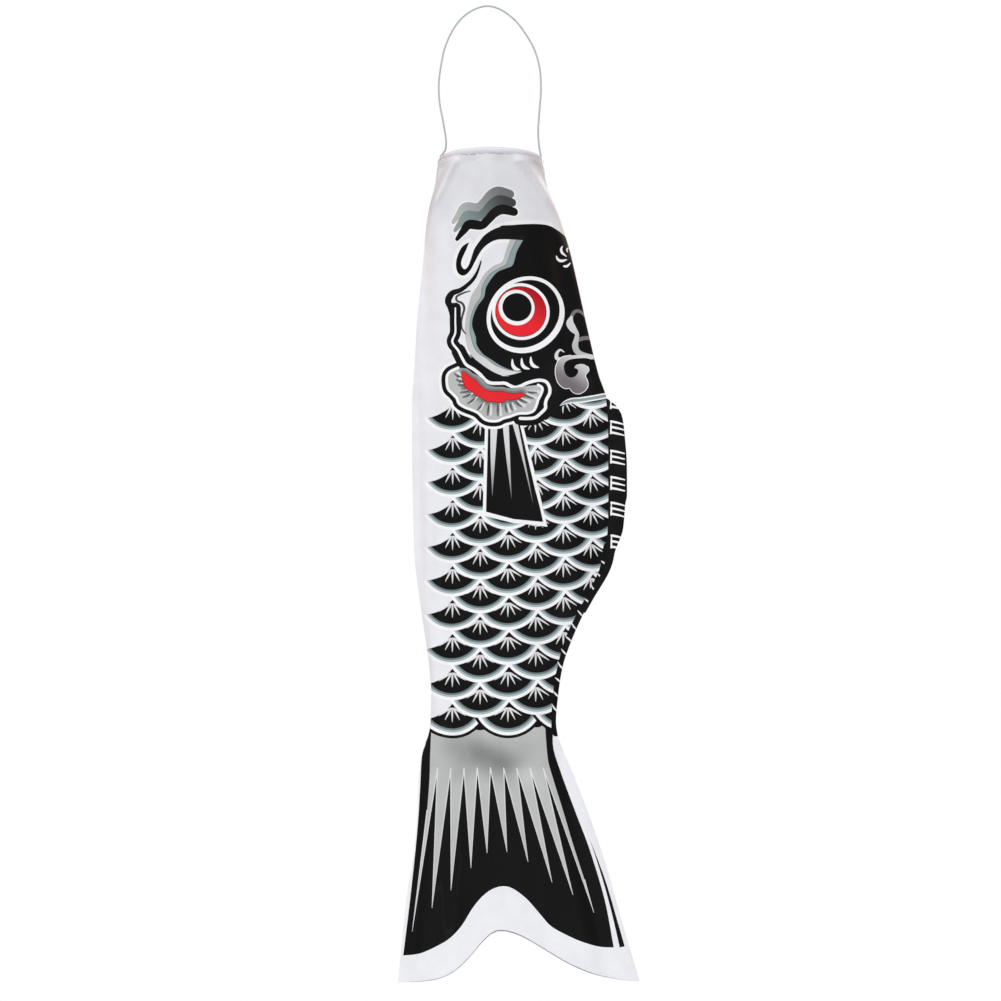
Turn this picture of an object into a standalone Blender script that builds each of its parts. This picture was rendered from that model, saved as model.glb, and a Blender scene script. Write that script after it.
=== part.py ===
"""Carp streamer: a printed cloth windsock in the shape of a fish, hung by a cord loop.

The cloth is one tube, folded along the belly and sewn along the back, held open at the mouth by a
hoop in a hem and left open at the forked tail. It is cut here into four sections, because a limp
tube bends anywhere and a rigid solid bends nowhere. X points from the belly to the back, Y through
the two printed sides, Z up. The origin is the point of the cord loop that rests on a hook.
"""

import math

import bmesh
import bpy
import numpy as np
from mathutils import Matrix, Vector

MM = 0.001

# Gap that any two pieces keep where the real ones touch
TOUCH_GAP = 0.3

# Hanging cord
CORD_DIAMETER = 1.5
CORD_POINTS = 80
CORD_BEVEL_RESOLUTION = 2
CORD_LEAD = 2.5

# Mouth hoop, its joining sleeve and the hem that folds over it
MOUTH_CENTRE_X = 3.0
HOOP_DIAMETER = 84.6
MOUTH_EASE = 2.2
THROAT_BELLY_GROWTH = 2.0
THROAT_BACK_GROWTH = 3.0
THROAT_FLATTENING = 5.5
HOOP_WIRE_DIAMETER = 1.6
HOOP_DROP = 135.2
HOOP_END_GAP = 1.0
SLEEVE_LENGTH = 12.0
SLEEVE_WALL = 0.4
HEM_HEIGHT = 10.0
HEM_PLY = 0.8
HEM_SHOULDER = 1.3
HEM_PINCH_HEIGHT = 5.2
HEM_NOTCH_WIDTH = 9.0
THREAD_DIAMETER = 0.6
THREAD_ABOVE_HEM_END = 5.4

# Cloth tube: section lengths from the mouth down, wall, and what the four sections share
HEAD_LENGTH = 184.0
BODY_LENGTH = 228.0
REAR_LENGTH = 84.0
TAIL_LENGTH = 193.0
CLOTH_WALL = 1.0
FOLD_WALL = 3.2
CLOTH_SIDES = 32
ROW_SPACING = 16.0

# Outline of each section: share of its length, belly X, back X, half depth, lens share.
# A lens share of 0 is an ellipse and 1 is two shallow arcs that meet at a crease.
MOUTH_RADIUS = HOOP_DIAMETER / 2 + MOUTH_EASE
MOUTH_BELLY = MOUTH_CENTRE_X - MOUTH_RADIUS
MOUTH_BACK = MOUTH_CENTRE_X + MOUTH_RADIUS
THROAT_BELLY = MOUTH_BELLY - THROAT_BELLY_GROWTH
THROAT_BACK = MOUTH_BACK + THROAT_BACK_GROWTH
HEAD_OUTLINE = (
    (0.00, MOUTH_BELLY, MOUTH_BACK, MOUTH_RADIUS, 0.00),
    (0.11, THROAT_BELLY, THROAT_BACK, MOUTH_RADIUS - THROAT_FLATTENING, 0.06),
    (0.22, -48.5, 58.5, 32.0, 0.25),
    (0.33, -51.5, 64.5, 26.0, 0.55),
    (0.44, -53.0, 70.0, 22.0, 0.75),
    (0.60, -56.0, 76.5, 19.0, 1.00),
    (0.79, -59.0, 84.0, 17.0, 1.00),
    (1.00, -61.0, 93.0, 16.0, 1.00),
)
BODY_OUTLINE = (
    (0.00, -61.0, 93.0, 16.0, 1.00),
    (0.10, -62.5, 100.0, 15.5, 1.00),
    (0.22, -62.5, 101.5, 15.0, 1.00),
    (0.49, -61.5, 101.5, 14.0, 1.00),
    (0.68, -60.0, 99.5, 13.0, 1.00),
    (0.84, -55.5, 84.5, 12.0, 1.00),
    (1.00, -50.0, 68.5, 11.5, 1.00),
)
REAR_OUTLINE = (
    (0.00, -50.0, 68.5, 11.5, 1.00),
    (0.22, -47.5, 62.5, 11.0, 1.00),
    (0.48, -46.0, 59.0, 10.5, 1.00),
    (0.76, -46.5, 57.0, 9.5, 1.00),
    (0.90, -48.5, 58.5, 9.0, 1.00),
    (1.00, -52.0, 61.0, 8.5, 1.00),
)
TAIL_OUTLINE = (
    (0.00, -52.0, 61.0, 8.5, 1.00),
    (0.10, -55.5, 69.5, 8.0, 1.00),
    (0.31, -57.5, 85.0, 8.0, 1.00),
    (0.46, -60.0, 95.0, 8.0, 1.00),
    (0.62, -65.0, 104.0, 8.5, 1.00),
    (0.78, -68.5, 112.5, 9.0, 1.00),
    (1.00, -72.5, 125.0, 10.0, 1.00),
)

# Fork of the tail's cut edge, across the tail from -1 at the belly to 1 at the back
FORK_RISE = 42.0
FORK_PEAK = -0.124
FORK_BELLY_REACH = 0.33
FORK_BACK_REACH = 0.56

# Bend that each cloth joint allows either way, in degrees, which sets the gap between sections
NECK_BEND = 35.0
REAR_BEND = 40.0
TAIL_BEND = 45.0
BEND_CLEARANCE = 0.5

# Back seam: two cloth edges sewn together and turned inside
SEAM_WIDTH = 6.0
SEAM_THICKNESS = 0.7
SEAM_INSET = 3.0
SEAM_END_MARGIN = 1.0

# Dorsal fin: doubled cloth caught in the back seam, share of its length and width off the seam
FIN_TOP_DROP = 205.0
FIN_LENGTH = 180.0
FIN_FLAP_LENGTH = 131.0
FIN_THICKNESS = 1.4
FIN_HINGE_CLEARANCE = 0.4
FIN_ROOT_CLEARANCE = 0.9
FIN_ROW_SPACING = 5.0
FIN_OUTLINE = (
    (0.00, 0.8),
    (0.03, 7.0),
    (0.08, 11.6),
    (0.15, 13.0),
    (0.33, 15.0),
    (0.45, 15.0),
    (0.50, 13.4),
    (0.61, 12.0),
    (0.73, 6.0),
    (0.84, 4.6),
    (0.95, 2.4),
    (1.00, 1.2),
)

# Steps round the wire's section, the hoop, the hem and the threads
RING_SIDES = 8
HOOP_SEGMENTS = 48
HEM_STEPS = 22
HEM_ARC_STEPS = 4
THREAD_SIDES = 6
KNOT_STEPS = 16
SLEEVE_STEPS = 4

SATIN = ((0.87, 0.88, 0.91), 0.45, 0.0)
INK = ((0.02, 0.02, 0.02), 0.5, 0.0)
NYLON = ((0.72, 0.78, 0.76), 0.35, 0.0)
STEEL = ((0.55, 0.56, 0.58), 0.3, 1.0)
PLASTIC = ((0.85, 0.85, 0.82), 0.5, 0.0)
THREAD = ((0.92, 0.92, 0.93), 0.6, 0.0)

# What follows from the values above
HOOP_RADIUS = HOOP_DIAMETER / 2
WIRE_RADIUS = HOOP_WIRE_DIAMETER / 2
CORD_RADIUS = CORD_DIAMETER / 2
SLEEVE_BORE_RADIUS = WIRE_RADIUS + TOUCH_GAP
SLEEVE_RADIUS = SLEEVE_BORE_RADIUS + SLEEVE_WALL
HEM_SLOT_RADIUS = SLEEVE_RADIUS + TOUCH_GAP
HEM_RADIUS = HEM_SLOT_RADIUS + HEM_PLY
KNOT_RING_RADIUS = WIRE_RADIUS + TOUCH_GAP + CORD_RADIUS
KNOT_RADIUS = KNOT_RING_RADIUS + CORD_RADIUS
RIM_DROP = HOOP_DROP - HEM_RADIUS
HEAD_TOP_DROP = RIM_DROP + HEM_HEIGHT + TOUCH_GAP
NECK_DROP = RIM_DROP + HEAD_LENGTH
REAR_DROP = NECK_DROP + BODY_LENGTH
TAIL_DROP = REAR_DROP + REAR_LENGTH
TIP_DROP = TAIL_DROP + TAIL_LENGTH
SECTIONS = (
    (RIM_DROP, HEAD_LENGTH, HEAD_OUTLINE),
    (NECK_DROP, BODY_LENGTH, BODY_OUTLINE),
    (REAR_DROP, REAR_LENGTH, REAR_OUTLINE),
    (TAIL_DROP, TAIL_LENGTH, TAIL_OUTLINE),
)

# The cord's route in X and Z, from the left knot over the hook to the right knot
CORD_ROUTE = (
    (-35.6, -125.0),
    (-34.8, -116.0),
    (-37.2, -100.0),
    (-40.4, -82.0),
    (-40.8, -64.0),
    (-37.6, -42.5),
    (-34.6, -32.0),
    (-29.4, -20.5),
    (-22.0, -10.2),
    (-11.5, -2.4),
    (0.0, CORD_RADIUS),
    (11.5, -2.4),
    (22.0, -10.2),
    (28.4, -17.6),
    (34.6, -27.0),
    (40.4, -38.5),
    (44.4, -54.0),
    (45.4, -72.0),
    (44.0, -92.0),
    (43.0, -107.0),
    (43.6, -120.0),
)


def clear_scene():
    """Remove every object that the file starts with."""
    for thing in list(bpy.data.objects):
        bpy.data.objects.remove(thing)


def point(x, y, z):
    """A point in metres from millimetres."""
    return Vector((x * MM, y * MM, z * MM))


def finish_material(name, finish):
    """A plain Principled material from a colour, a roughness and a metallic value."""
    colour, roughness, metallic = finish
    material = bpy.data.materials.new(name)
    material.use_nodes = True
    shader = material.node_tree.nodes["Principled BSDF"]
    shader.inputs["Base Color"].default_value = (*colour, 1.0)
    shader.inputs["Roughness"].default_value = roughness
    shader.inputs["Metallic"].default_value = metallic
    return material


def add_object(name, data, finish, parent=None):
    """Link one named object and keep its world place when it gets a parent."""
    thing = bpy.data.objects.new(name, data)
    bpy.context.collection.objects.link(thing)
    data.materials.append(finish_material(name + "_finish", finish))
    if parent is not None:
        thing.parent = parent
        thing.matrix_parent_inverse = Matrix.Translation(parent.location).inverted()
    return thing


def joint_empty(name, location):
    """An empty that stands on a joint's axis and carries what moves about it."""
    empty = bpy.data.objects.new(name, None)
    empty.location = location
    empty.empty_display_size = 10 * MM
    bpy.context.collection.objects.link(empty)
    return empty


def smooth_mesh(mesh):
    """Round faces shaded smooth, real corners left sharp."""
    mesh.shade_smooth()
    mesh.set_sharp_from_angle(angle=math.radians(40))


def mesh_from(name, rows, faces):
    """A mesh from points in millimetres and faces by index."""
    mesh = bpy.data.meshes.new(name)
    mesh.from_pydata([point(*row) for row in rows], [], faces)
    build = bmesh.new()
    build.from_mesh(mesh)
    bmesh.ops.recalc_face_normals(build, faces=build.faces)
    build.to_mesh(mesh)
    build.free()
    smooth_mesh(mesh)
    return mesh


def through(stations, at):
    """Value at a place along stations, on a smooth curve through them that adds no bumps."""
    places = np.array([station[0] for station in stations], float)
    values = np.array([station[1] for station in stations], float)
    steps = np.diff(places)
    slopes = np.diff(values) / steps
    tangents = np.zeros(len(places))
    tangents[0] = slopes[0]
    tangents[-1] = slopes[-1]
    for i in range(1, len(places) - 1):
        if slopes[i - 1] * slopes[i] > 0:
            tangents[i] = 2 * slopes[i - 1] * slopes[i] / (slopes[i - 1] + slopes[i])
    i = int(np.clip(np.searchsorted(places, at) - 1, 0, len(steps) - 1))
    t = (at - places[i]) / steps[i]
    start_pull = t * (1 - t) ** 2 * steps[i] * tangents[i]
    end_pull = t * t * (t - 1) * steps[i] * tangents[i + 1]
    blend = t * t * (3 - 2 * t)
    return values[i] * (1 - blend) + values[i + 1] * blend + start_pull + end_pull


def outline_stations(column):
    """One column of the whole tube's outline as (drop, value), with no station twice."""
    found = []
    for top, length, outline in SECTIONS:
        for row in outline:
            drop = top + row[0] * length
            if not found or drop > found[-1][0] + TOUCH_GAP:
                found.append((drop, row[column]))
    return found


BELLY_LINE = outline_stations(1)
BACK_LINE = outline_stations(2)
HALF_DEPTHS = outline_stations(3)
LENS_SHARES = outline_stations(4)


def section_at(drop):
    """Centre X, half width, half depth and lens share of the tube's outside at a drop."""
    belly = through(BELLY_LINE, drop)
    back = through(BACK_LINE, drop)
    depth = through(HALF_DEPTHS, drop)
    lens = through(LENS_SHARES, drop)
    return (belly + back) / 2, (back - belly) / 2, depth, lens


def fold_wall(lens):
    """How thick the solid is at the folded and sewn edges, where two walls meet."""
    return CLOTH_WALL + (FOLD_WALL - CLOTH_WALL) * lens


def ring_points(drop, inset, drop_of):
    """One ring round the tube, outside or inside, as points in millimetres."""
    centre, half_width, depth, lens = section_at(drop)
    if inset:
        half_width -= fold_wall(lens)
        depth -= CLOTH_WALL
    power = 1 + 0.6 * lens
    points = []
    for k in range(CLOTH_SIDES):
        angle = 2 * math.pi * (k + 0.5) / CLOTH_SIDES
        across = math.cos(angle)
        rise = abs(math.sin(angle)) ** power
        side = math.copysign(rise, math.sin(angle))
        points.append((centre + half_width * across, -depth * side, -drop_of(drop, across)))
    return points


def straight_drop(drop, across):
    """The drop of a ring that lies level."""
    return drop


def fork_drop(drop, across):
    """The drop of a ring that turns from level at the tail's root into the forked cut edge."""
    share = (drop - TAIL_DROP) / TAIL_LENGTH
    away = across - FORK_PEAK
    reach = FORK_BELLY_REACH if away < 0 else FORK_BACK_REACH
    rise = FORK_RISE * math.exp(-((away / reach) ** 2))
    return drop - rise * max(share, 0.0) ** 1.5


def tube_section(name, top, bottom, parent, drop_of=straight_drop):
    """One stretch of the cloth tube: a thin closed wall, open at both ends."""
    count = max(3, math.ceil((bottom - top) / ROW_SPACING) + 1)
    drops = np.linspace(top, bottom, count)
    rings = [ring_points(drop, False, drop_of) for drop in drops]
    rings += [ring_points(drop, True, drop_of) for drop in reversed(drops)]
    rows = [row for ring in rings for row in ring]
    faces = []
    for r in range(len(rings)):
        low = r * CLOTH_SIDES
        high = (r + 1) % len(rings) * CLOTH_SIDES
        for k in range(CLOTH_SIDES):
            n = (k + 1) % CLOTH_SIDES
            faces.append((low + k, low + n, high + n, high + k))
    return add_object(name, mesh_from(name, rows, faces), SATIN, parent)


def plate(name, near_edge, far_edge, thickness, finish, parent):
    """A flat strip in the tube's middle plane between two edges, each a list of (x, z)."""
    half = thickness / 2
    rows = []
    for (x0, z0), (x1, z1) in zip(near_edge, far_edge):
        rows += [(x0, -half, z0), (x1, -half, z1), (x1, half, z1), (x0, half, z0)]
    faces = [(0, 1, 2, 3)]
    for i in range(len(near_edge) - 1):
        low = 4 * i
        for k in range(4):
            n = (k + 1) % 4
            faces.append((low + k, low + 4 + k, low + 4 + n, low + n))
    last = 4 * (len(near_edge) - 1)
    faces.append((last + 3, last + 2, last + 1, last))
    return add_object(name, mesh_from(name, rows, faces), finish, parent)


def back_seam(name, top, bottom, parent, drop_of=straight_drop):
    """The turned-in cloth edges along the back of one section."""
    count = max(3, math.ceil((bottom - top) / ROW_SPACING) + 1)
    outer = []
    inner = []
    for drop in np.linspace(top + SEAM_END_MARGIN, bottom - SEAM_END_MARGIN, count):
        centre, half_width, _, lens = section_at(drop)
        edge = centre + half_width - fold_wall(lens) - SEAM_INSET
        outer.append((edge, -drop_of(drop, 1.0)))
        inner.append((edge - SEAM_WIDTH, -drop_of(drop, 1.0)))
    return plate(name, inner, outer, SEAM_THICKNESS, SATIN, parent)


def fin_hinge_x():
    """X of the fin's hinge line, just clear of the back over the flap's length."""
    drops = np.linspace(FIN_TOP_DROP + RIM_DROP, FIN_TOP_DROP + RIM_DROP + FIN_FLAP_LENGTH, 12)
    return max(through(BACK_LINE, drop) for drop in drops) + FIN_HINGE_CLEARANCE


def fin_edge_x(share):
    """X of the fin's free edge at a share of its length."""
    drop = RIM_DROP + FIN_TOP_DROP + share * FIN_LENGTH
    return through(BACK_LINE, drop) + through(FIN_OUTLINE, share)


def dorsal_fin(parent):
    """The part of the fin that stands off the straight of the back and flaps about the seam."""
    root = fin_hinge_x() + FIN_ROOT_CLEARANCE
    end = FIN_FLAP_LENGTH / FIN_LENGTH
    count = math.ceil(FIN_FLAP_LENGTH / FIN_ROW_SPACING)
    near = []
    far = []
    for share in np.linspace(0.0, end, count):
        free = max(fin_edge_x(share), root + FIN_THICKNESS)
        z = -(RIM_DROP + FIN_TOP_DROP + share * FIN_LENGTH)
        near.append((root, z))
        far.append((free, z))
    return plate("dorsal_fin", near, far, FIN_THICKNESS, INK, parent)


def dorsal_fin_foot(parent):
    """The fin's narrow lower end, which follows the seam in towards the tail and stays put."""
    start = FIN_FLAP_LENGTH / FIN_LENGTH + TOUCH_GAP / FIN_LENGTH
    count = math.ceil((1 - start) * FIN_LENGTH / FIN_ROW_SPACING)
    near = []
    far = []
    for share in np.linspace(start, 1.0, count):
        drop = RIM_DROP + FIN_TOP_DROP + share * FIN_LENGTH
        near.append((through(BACK_LINE, drop) + TOUCH_GAP, -drop))
        far.append((fin_edge_x(share), -drop))
    return plate("dorsal_fin_foot", near, far, FIN_THICKNESS, INK, parent)


def spun(name, profile, centre_x, start, sweep, steps, finish, parent):
    """A closed profile of (radius, z) turned through part of a circle, with flat ends."""
    rows = []
    for i in range(steps + 1):
        angle = start + sweep * i / steps
        for radius, z in profile:
            rows.append((centre_x + radius * math.cos(angle), radius * math.sin(angle), z))
    size = len(profile)
    faces = [tuple(range(size)), tuple(steps * size + k for k in reversed(range(size)))]
    for i in range(steps):
        for k in range(size):
            n = (k + 1) % size
            low = i * size
            faces.append((low + k, low + size + k, low + size + n, low + n))
    return add_object(name, mesh_from(name, rows, faces), finish, parent)


def circle(radius, centre_r, centre_z, sides, start=0.0, sweep=2 * math.pi, closed=True):
    """Points on a circle or an arc in the (radius, z) plane."""
    steps = sides if closed else sides - 1
    found = []
    for i in range(sides):
        angle = start + sweep * i / steps
        found.append((centre_r + radius * math.cos(angle), centre_z + radius * math.sin(angle)))
    return found


def mouth_hoop(parent):
    """The springy wire ring, cut once, its two ends meeting inside the sleeve at the far side."""
    gap = HOOP_END_GAP / HOOP_RADIUS
    profile = circle(WIRE_RADIUS, HOOP_RADIUS, -HOOP_DROP, RING_SIDES)
    start = math.pi / 2 + gap / 2
    sweep = 2 * math.pi - gap
    return spun("mouth_hoop", profile, MOUTH_CENTRE_X, start, sweep, HOOP_SEGMENTS, STEEL, parent)


def hoop_sleeve(parent):
    """A short bent tube that the hoop's ends push into: a wall with a bore right through."""
    sweep = SLEEVE_LENGTH / HOOP_RADIUS
    start = math.pi / 2 - sweep / 2
    steps = SLEEVE_STEPS
    rows = []
    for i in range(steps + 1):
        angle = start + sweep * i / steps
        for radius in (SLEEVE_RADIUS, SLEEVE_BORE_RADIUS):
            for r, z in circle(radius, HOOP_RADIUS, -HOOP_DROP, RING_SIDES):
                rows.append((MOUTH_CENTRE_X + r * math.cos(angle), r * math.sin(angle), z))
    size = 2 * RING_SIDES
    faces = []
    for k in range(RING_SIDES):
        n = (k + 1) % RING_SIDES
        for i in range(steps):
            low = i * size
            high = low + size
            faces.append((low + k, high + k, high + n, low + n))
            bore = low + RING_SIDES
            next_bore = high + RING_SIDES
            faces.append((bore + n, next_bore + n, next_bore + k, bore + k))
        for end in (0, steps * size):
            faces.append((end + k, end + n, end + RING_SIDES + n, end + RING_SIDES + k))
    mesh = mesh_from("hoop_sleeve", rows, faces)
    return add_object("hoop_sleeve", mesh, PLASTIC, parent)


def hem_profile():
    """Section of the hem: the cloth folded over the hoop and its two plies sewn flat below."""
    top = -HOOP_DROP
    end = -(RIM_DROP + HEM_HEIGHT)
    pinch = top - HEM_PINCH_HEIGHT
    outside = HOOP_RADIUS + HEM_RADIUS
    under = HOOP_RADIUS + HEM_SLOT_RADIUS
    ply = under - TOUCH_GAP
    profile = [(outside, end)]
    profile += circle(HEM_RADIUS, HOOP_RADIUS, top, HEM_ARC_STEPS + 1, 0.0, math.pi, False)
    profile += [(HOOP_RADIUS - HEM_RADIUS, top - HEM_SHOULDER), (ply - HEM_PLY, pinch)]
    profile += [(ply - HEM_PLY, end), (ply, end), (ply, pinch)]
    profile += [(HOOP_RADIUS - HEM_SLOT_RADIUS, top - HEM_SHOULDER)]
    profile += circle(HEM_SLOT_RADIUS, HOOP_RADIUS, top, HEM_ARC_STEPS + 1, math.pi, -math.pi, False)
    profile += [(under, end)]
    return profile


def mouth_hems(parent):
    """The hem on each printed side, stopping short of the cord on the left and right."""
    notch = HEM_NOTCH_WIDTH / 2 / HOOP_RADIUS
    sweep = math.pi - 2 * notch
    thread_radius = THREAD_DIAMETER / 2
    away = HOOP_RADIUS + HEM_RADIUS + TOUCH_GAP + thread_radius
    thread_z = -(RIM_DROP + HEM_HEIGHT - THREAD_ABOVE_HEM_END)
    thread_profile = circle(thread_radius, away, thread_z, THREAD_SIDES)
    for side, start in (("front", math.pi + notch), ("back", notch)):
        hem = "mouth_hem_" + side
        spun(hem, hem_profile(), MOUTH_CENTRE_X, start, sweep, HEM_STEPS, SATIN, parent)
        thread = "hem_thread_" + side
        spun(thread, thread_profile, MOUTH_CENTRE_X, start, sweep, HOOP_SEGMENTS // 2, THREAD, parent)


def cord_knots(parent):
    """A turn of the cord round the hoop at each side of the mouth."""
    for side, sign in (("left", -1), ("right", 1)):
        rows = []
        for i in range(KNOT_STEPS):
            turn = 2 * math.pi * i / KNOT_STEPS
            for r, y in circle(CORD_RADIUS, KNOT_RING_RADIUS, 0.0, RING_SIDES):
                x = MOUTH_CENTRE_X + sign * HOOP_RADIUS + r * math.cos(turn)
                rows.append((x, y, -HOOP_DROP + r * math.sin(turn)))
        faces = []
        for i in range(KNOT_STEPS):
            low = RING_SIDES * i
            high = RING_SIDES * ((i + 1) % KNOT_STEPS)
            for k in range(RING_SIDES):
                n = (k + 1) % RING_SIDES
                faces.append((low + k, high + k, high + n, low + n))
        name = "cord_knot_" + side
        add_object(name, mesh_from(name, rows, faces), NYLON, parent)


def cord_path():
    """The cord's centre line, straight up out of each knot and smooth through its route."""
    end = KNOT_RADIUS + TOUCH_GAP - HOOP_DROP
    lead = end + CORD_LEAD
    left = MOUTH_CENTRE_X - HOOP_RADIUS
    right = MOUTH_CENTRE_X + HOOP_RADIUS
    route = np.array([(left, end), (left, lead), *CORD_ROUTE, (right, lead), (right, end)])
    fine = []
    for i in range(len(route) - 1):
        before = route[max(i - 1, 0)]
        after = route[min(i + 2, len(route) - 1)]
        for t in np.linspace(0.0, 1.0, 12, endpoint=False):
            pull = (route[i + 1] - before) * t * (1 - t) ** 2 / 2
            push = (after - route[i]) * t * t * (t - 1) / 2
            blend = t * t * (3 - 2 * t)
            fine.append(route[i] * (1 - blend) + route[i + 1] * blend + pull + push)
    fine.append(route[-1])
    fine = np.array(fine)
    run = np.concatenate([[0.0], np.cumsum(np.linalg.norm(np.diff(fine, axis=0), axis=1))])
    even = np.linspace(0.0, run[-1], CORD_POINTS)
    return np.interp(even, run, fine[:, 0]), np.interp(even, run, fine[:, 1])


def hanging_cord():
    """The loop of cord that the streamer hangs by."""
    curve = bpy.data.curves.new("hanging_cord", "CURVE")
    curve.dimensions = "3D"
    curve.bevel_depth = CORD_RADIUS * MM
    curve.bevel_resolution = CORD_BEVEL_RESOLUTION
    curve.use_fill_caps = True
    spline = curve.splines.new("POLY")
    xs, zs = cord_path()
    spline.points.add(len(xs) - 1)
    for spot, x, z in zip(spline.points, xs, zs):
        spot.co = (*point(x, 0.0, z), 1.0)
    return add_object("hanging_cord", curve, NYLON)


def bend_gap(drop, bend):
    """Half the gap that two sections need to bend past each other without touching."""
    return through(HALF_DEPTHS, drop) * math.tan(math.radians(bend / 2)) + BEND_CLEARANCE


def build():
    """Every piece of the streamer."""
    clear_scene()
    mouth = joint_empty("mouth_axis", point(MOUTH_CENTRE_X, 0, -HOOP_DROP))
    neck = joint_empty("neck_axis", point(0, 0, -NECK_DROP))
    rear = joint_empty("rear_axis", point(0, 0, -REAR_DROP))
    tail = joint_empty("tail_axis", point(0, 0, -TAIL_DROP))
    fin = joint_empty("fin_axis", point(fin_hinge_x(), 0, -(RIM_DROP + FIN_TOP_DROP)))
    hanging_cord()
    cord_knots(mouth)
    mouth_hoop(mouth)
    hoop_sleeve(mouth)
    mouth_hems(mouth)
    neck_gap = bend_gap(NECK_DROP, NECK_BEND)
    rear_gap = bend_gap(REAR_DROP, REAR_BEND)
    tail_gap = bend_gap(TAIL_DROP, TAIL_BEND)
    stretches = (
        ("head", HEAD_TOP_DROP, NECK_DROP - neck_gap, mouth, straight_drop),
        ("body", NECK_DROP + neck_gap, REAR_DROP - rear_gap, neck, straight_drop),
        ("rear", REAR_DROP + rear_gap, TAIL_DROP - tail_gap, rear, straight_drop),
        ("tail", TAIL_DROP + tail_gap, TIP_DROP, tail, fork_drop),
    )
    for name, top, bottom, parent, drop_of in stretches:
        tube_section(name + "_cloth", top, bottom, parent, drop_of)
        back_seam("back_seam_" + name, top, bottom, parent, drop_of)
    dorsal_fin(fin)
    dorsal_fin_foot(neck)


build()
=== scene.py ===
import logging
import math
from collections.abc import Callable, Sequence
from dataclasses import dataclass, field
from enum import Enum

import bpy
import numpy as np
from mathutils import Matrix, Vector
from mathutils.geometry import delaunay_2d_cdt


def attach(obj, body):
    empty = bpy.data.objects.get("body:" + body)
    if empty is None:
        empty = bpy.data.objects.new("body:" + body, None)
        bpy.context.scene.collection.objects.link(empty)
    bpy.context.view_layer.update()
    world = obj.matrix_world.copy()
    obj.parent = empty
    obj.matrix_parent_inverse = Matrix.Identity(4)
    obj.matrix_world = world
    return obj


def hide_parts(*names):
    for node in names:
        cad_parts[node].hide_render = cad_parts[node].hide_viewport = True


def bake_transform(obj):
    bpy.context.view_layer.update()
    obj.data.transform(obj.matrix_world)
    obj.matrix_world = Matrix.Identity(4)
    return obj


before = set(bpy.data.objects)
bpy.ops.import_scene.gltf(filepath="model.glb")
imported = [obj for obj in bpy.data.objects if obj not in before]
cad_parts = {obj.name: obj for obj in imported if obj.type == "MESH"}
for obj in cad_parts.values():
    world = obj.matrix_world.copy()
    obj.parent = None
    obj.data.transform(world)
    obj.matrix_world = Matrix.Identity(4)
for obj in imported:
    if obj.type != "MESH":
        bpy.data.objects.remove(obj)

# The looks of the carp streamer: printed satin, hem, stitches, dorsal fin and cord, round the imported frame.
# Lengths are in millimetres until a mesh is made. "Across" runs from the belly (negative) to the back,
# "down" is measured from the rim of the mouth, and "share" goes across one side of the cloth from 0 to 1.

log = logging.getLogger("streamer")
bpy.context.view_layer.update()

MM = 0.001
RIM_DROP = 132.6
NECK, REAR, TAIL, TIP = 184.0, 412.0, 496.0, 689.0
MOUTH_CENTRE = 3.0
HOOP_RADIUS = 42.3
HOOP_DROP = 135.2

Points = np.ndarray
Route = Sequence[tuple[float, float]]


def linear(red: int, green: int, blue: int) -> tuple[float, float, float]:
    """The light that a dye gives back, from the three numbers of a colour chart."""
    return tuple((c / 255) ** 2.2 for c in (red, green, blue))


class Ink(Enum):
    """The colours that the cloth is printed in."""

    CLOTH = linear(238, 239, 243)
    WHITE = linear(250, 250, 252)
    BLACK = linear(14, 13, 13)
    CHARCOAL = linear(70, 70, 70)
    STONE = linear(118, 121, 121)
    MAUVE = linear(124, 116, 120)
    PEWTER = linear(148, 150, 150)
    DEEP_TEAL = linear(112, 128, 131)
    TEAL = linear(146, 162, 163)
    PALE_TEAL = linear(170, 186, 187)
    SILVER = linear(190, 192, 191)
    PALE_SILVER = linear(222, 223, 224)
    RED = linear(238, 44, 52)
    DEEP_RED = linear(160, 16, 24)


# ------------------------------------------------------------------------------ lines and outlines


def smooth(route: Sequence[Sequence[float]], step: float = 1.3, closed: bool = False) -> Points:
    """A smooth line through a few chosen points.

    Args:
        route: the points, each with its across and down first.
        step: about how far apart the result's points lie.
        closed: whether the line returns to its start.

    Returns:
        The line's points, without the first one again at the end of a closed line.
    """
    spots = np.array(route, float)
    count = len(spots)
    found = []
    for i in range(count if closed else count - 1):
        a = spots[(i - 1) % count] if closed or i > 0 else spots[0]
        b = spots[i]
        c = spots[(i + 1) % count]
        d = spots[(i + 2) % count] if closed or i + 2 < count else spots[-1]
        pieces = max(1, int(round(np.linalg.norm((c - b)[:2]) / step)))
        for t in np.arange(pieces) / pieces:
            square = 2 * a - 5 * b + 4 * c - d
            cube = 3 * b - a - 3 * c + d
            found.append(0.5 * (2 * b + (c - a) * t + square * t**2 + cube * t**3))
    if not closed:
        found.append(spots[-1])
    return np.array(found)


def outline(*runs: Route, step: float = 1.3) -> Points:
    """A closed outline of smooth runs that meet at corners.

    Args:
        runs: each run's points; a run starts where the one before it ends. A single run has no corner.
        step: about how far apart the result's points lie.

    Returns:
        The outline's points, once round.
    """
    if len(runs) == 1:
        return smooth(runs[0], step, closed=True)
    lines = [smooth(run, step) for run in runs]
    joined = []
    for line, after in zip(lines, lines[1:] + lines[:1]):
        joined.append(line[:-1] if np.allclose(line[-1], after[0]) else line)
    return np.concatenate(joined)


def cap(spot: Points, forward: Points, radius: float) -> list[Points]:
    """The round end of a stroke.

    Args:
        spot: where the stroke's middle line ends.
        forward: the way that the stroke runs there.
        radius: half the stroke's width there.

    Returns:
        Points round the end, from the stroke's left to its right.
    """
    side = np.array([-forward[1], forward[0]])
    turns = np.linspace(0, math.pi, 6)[1:-1]
    return [spot + radius * (math.cos(t) * side + math.sin(t) * forward) for t in turns]


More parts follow.
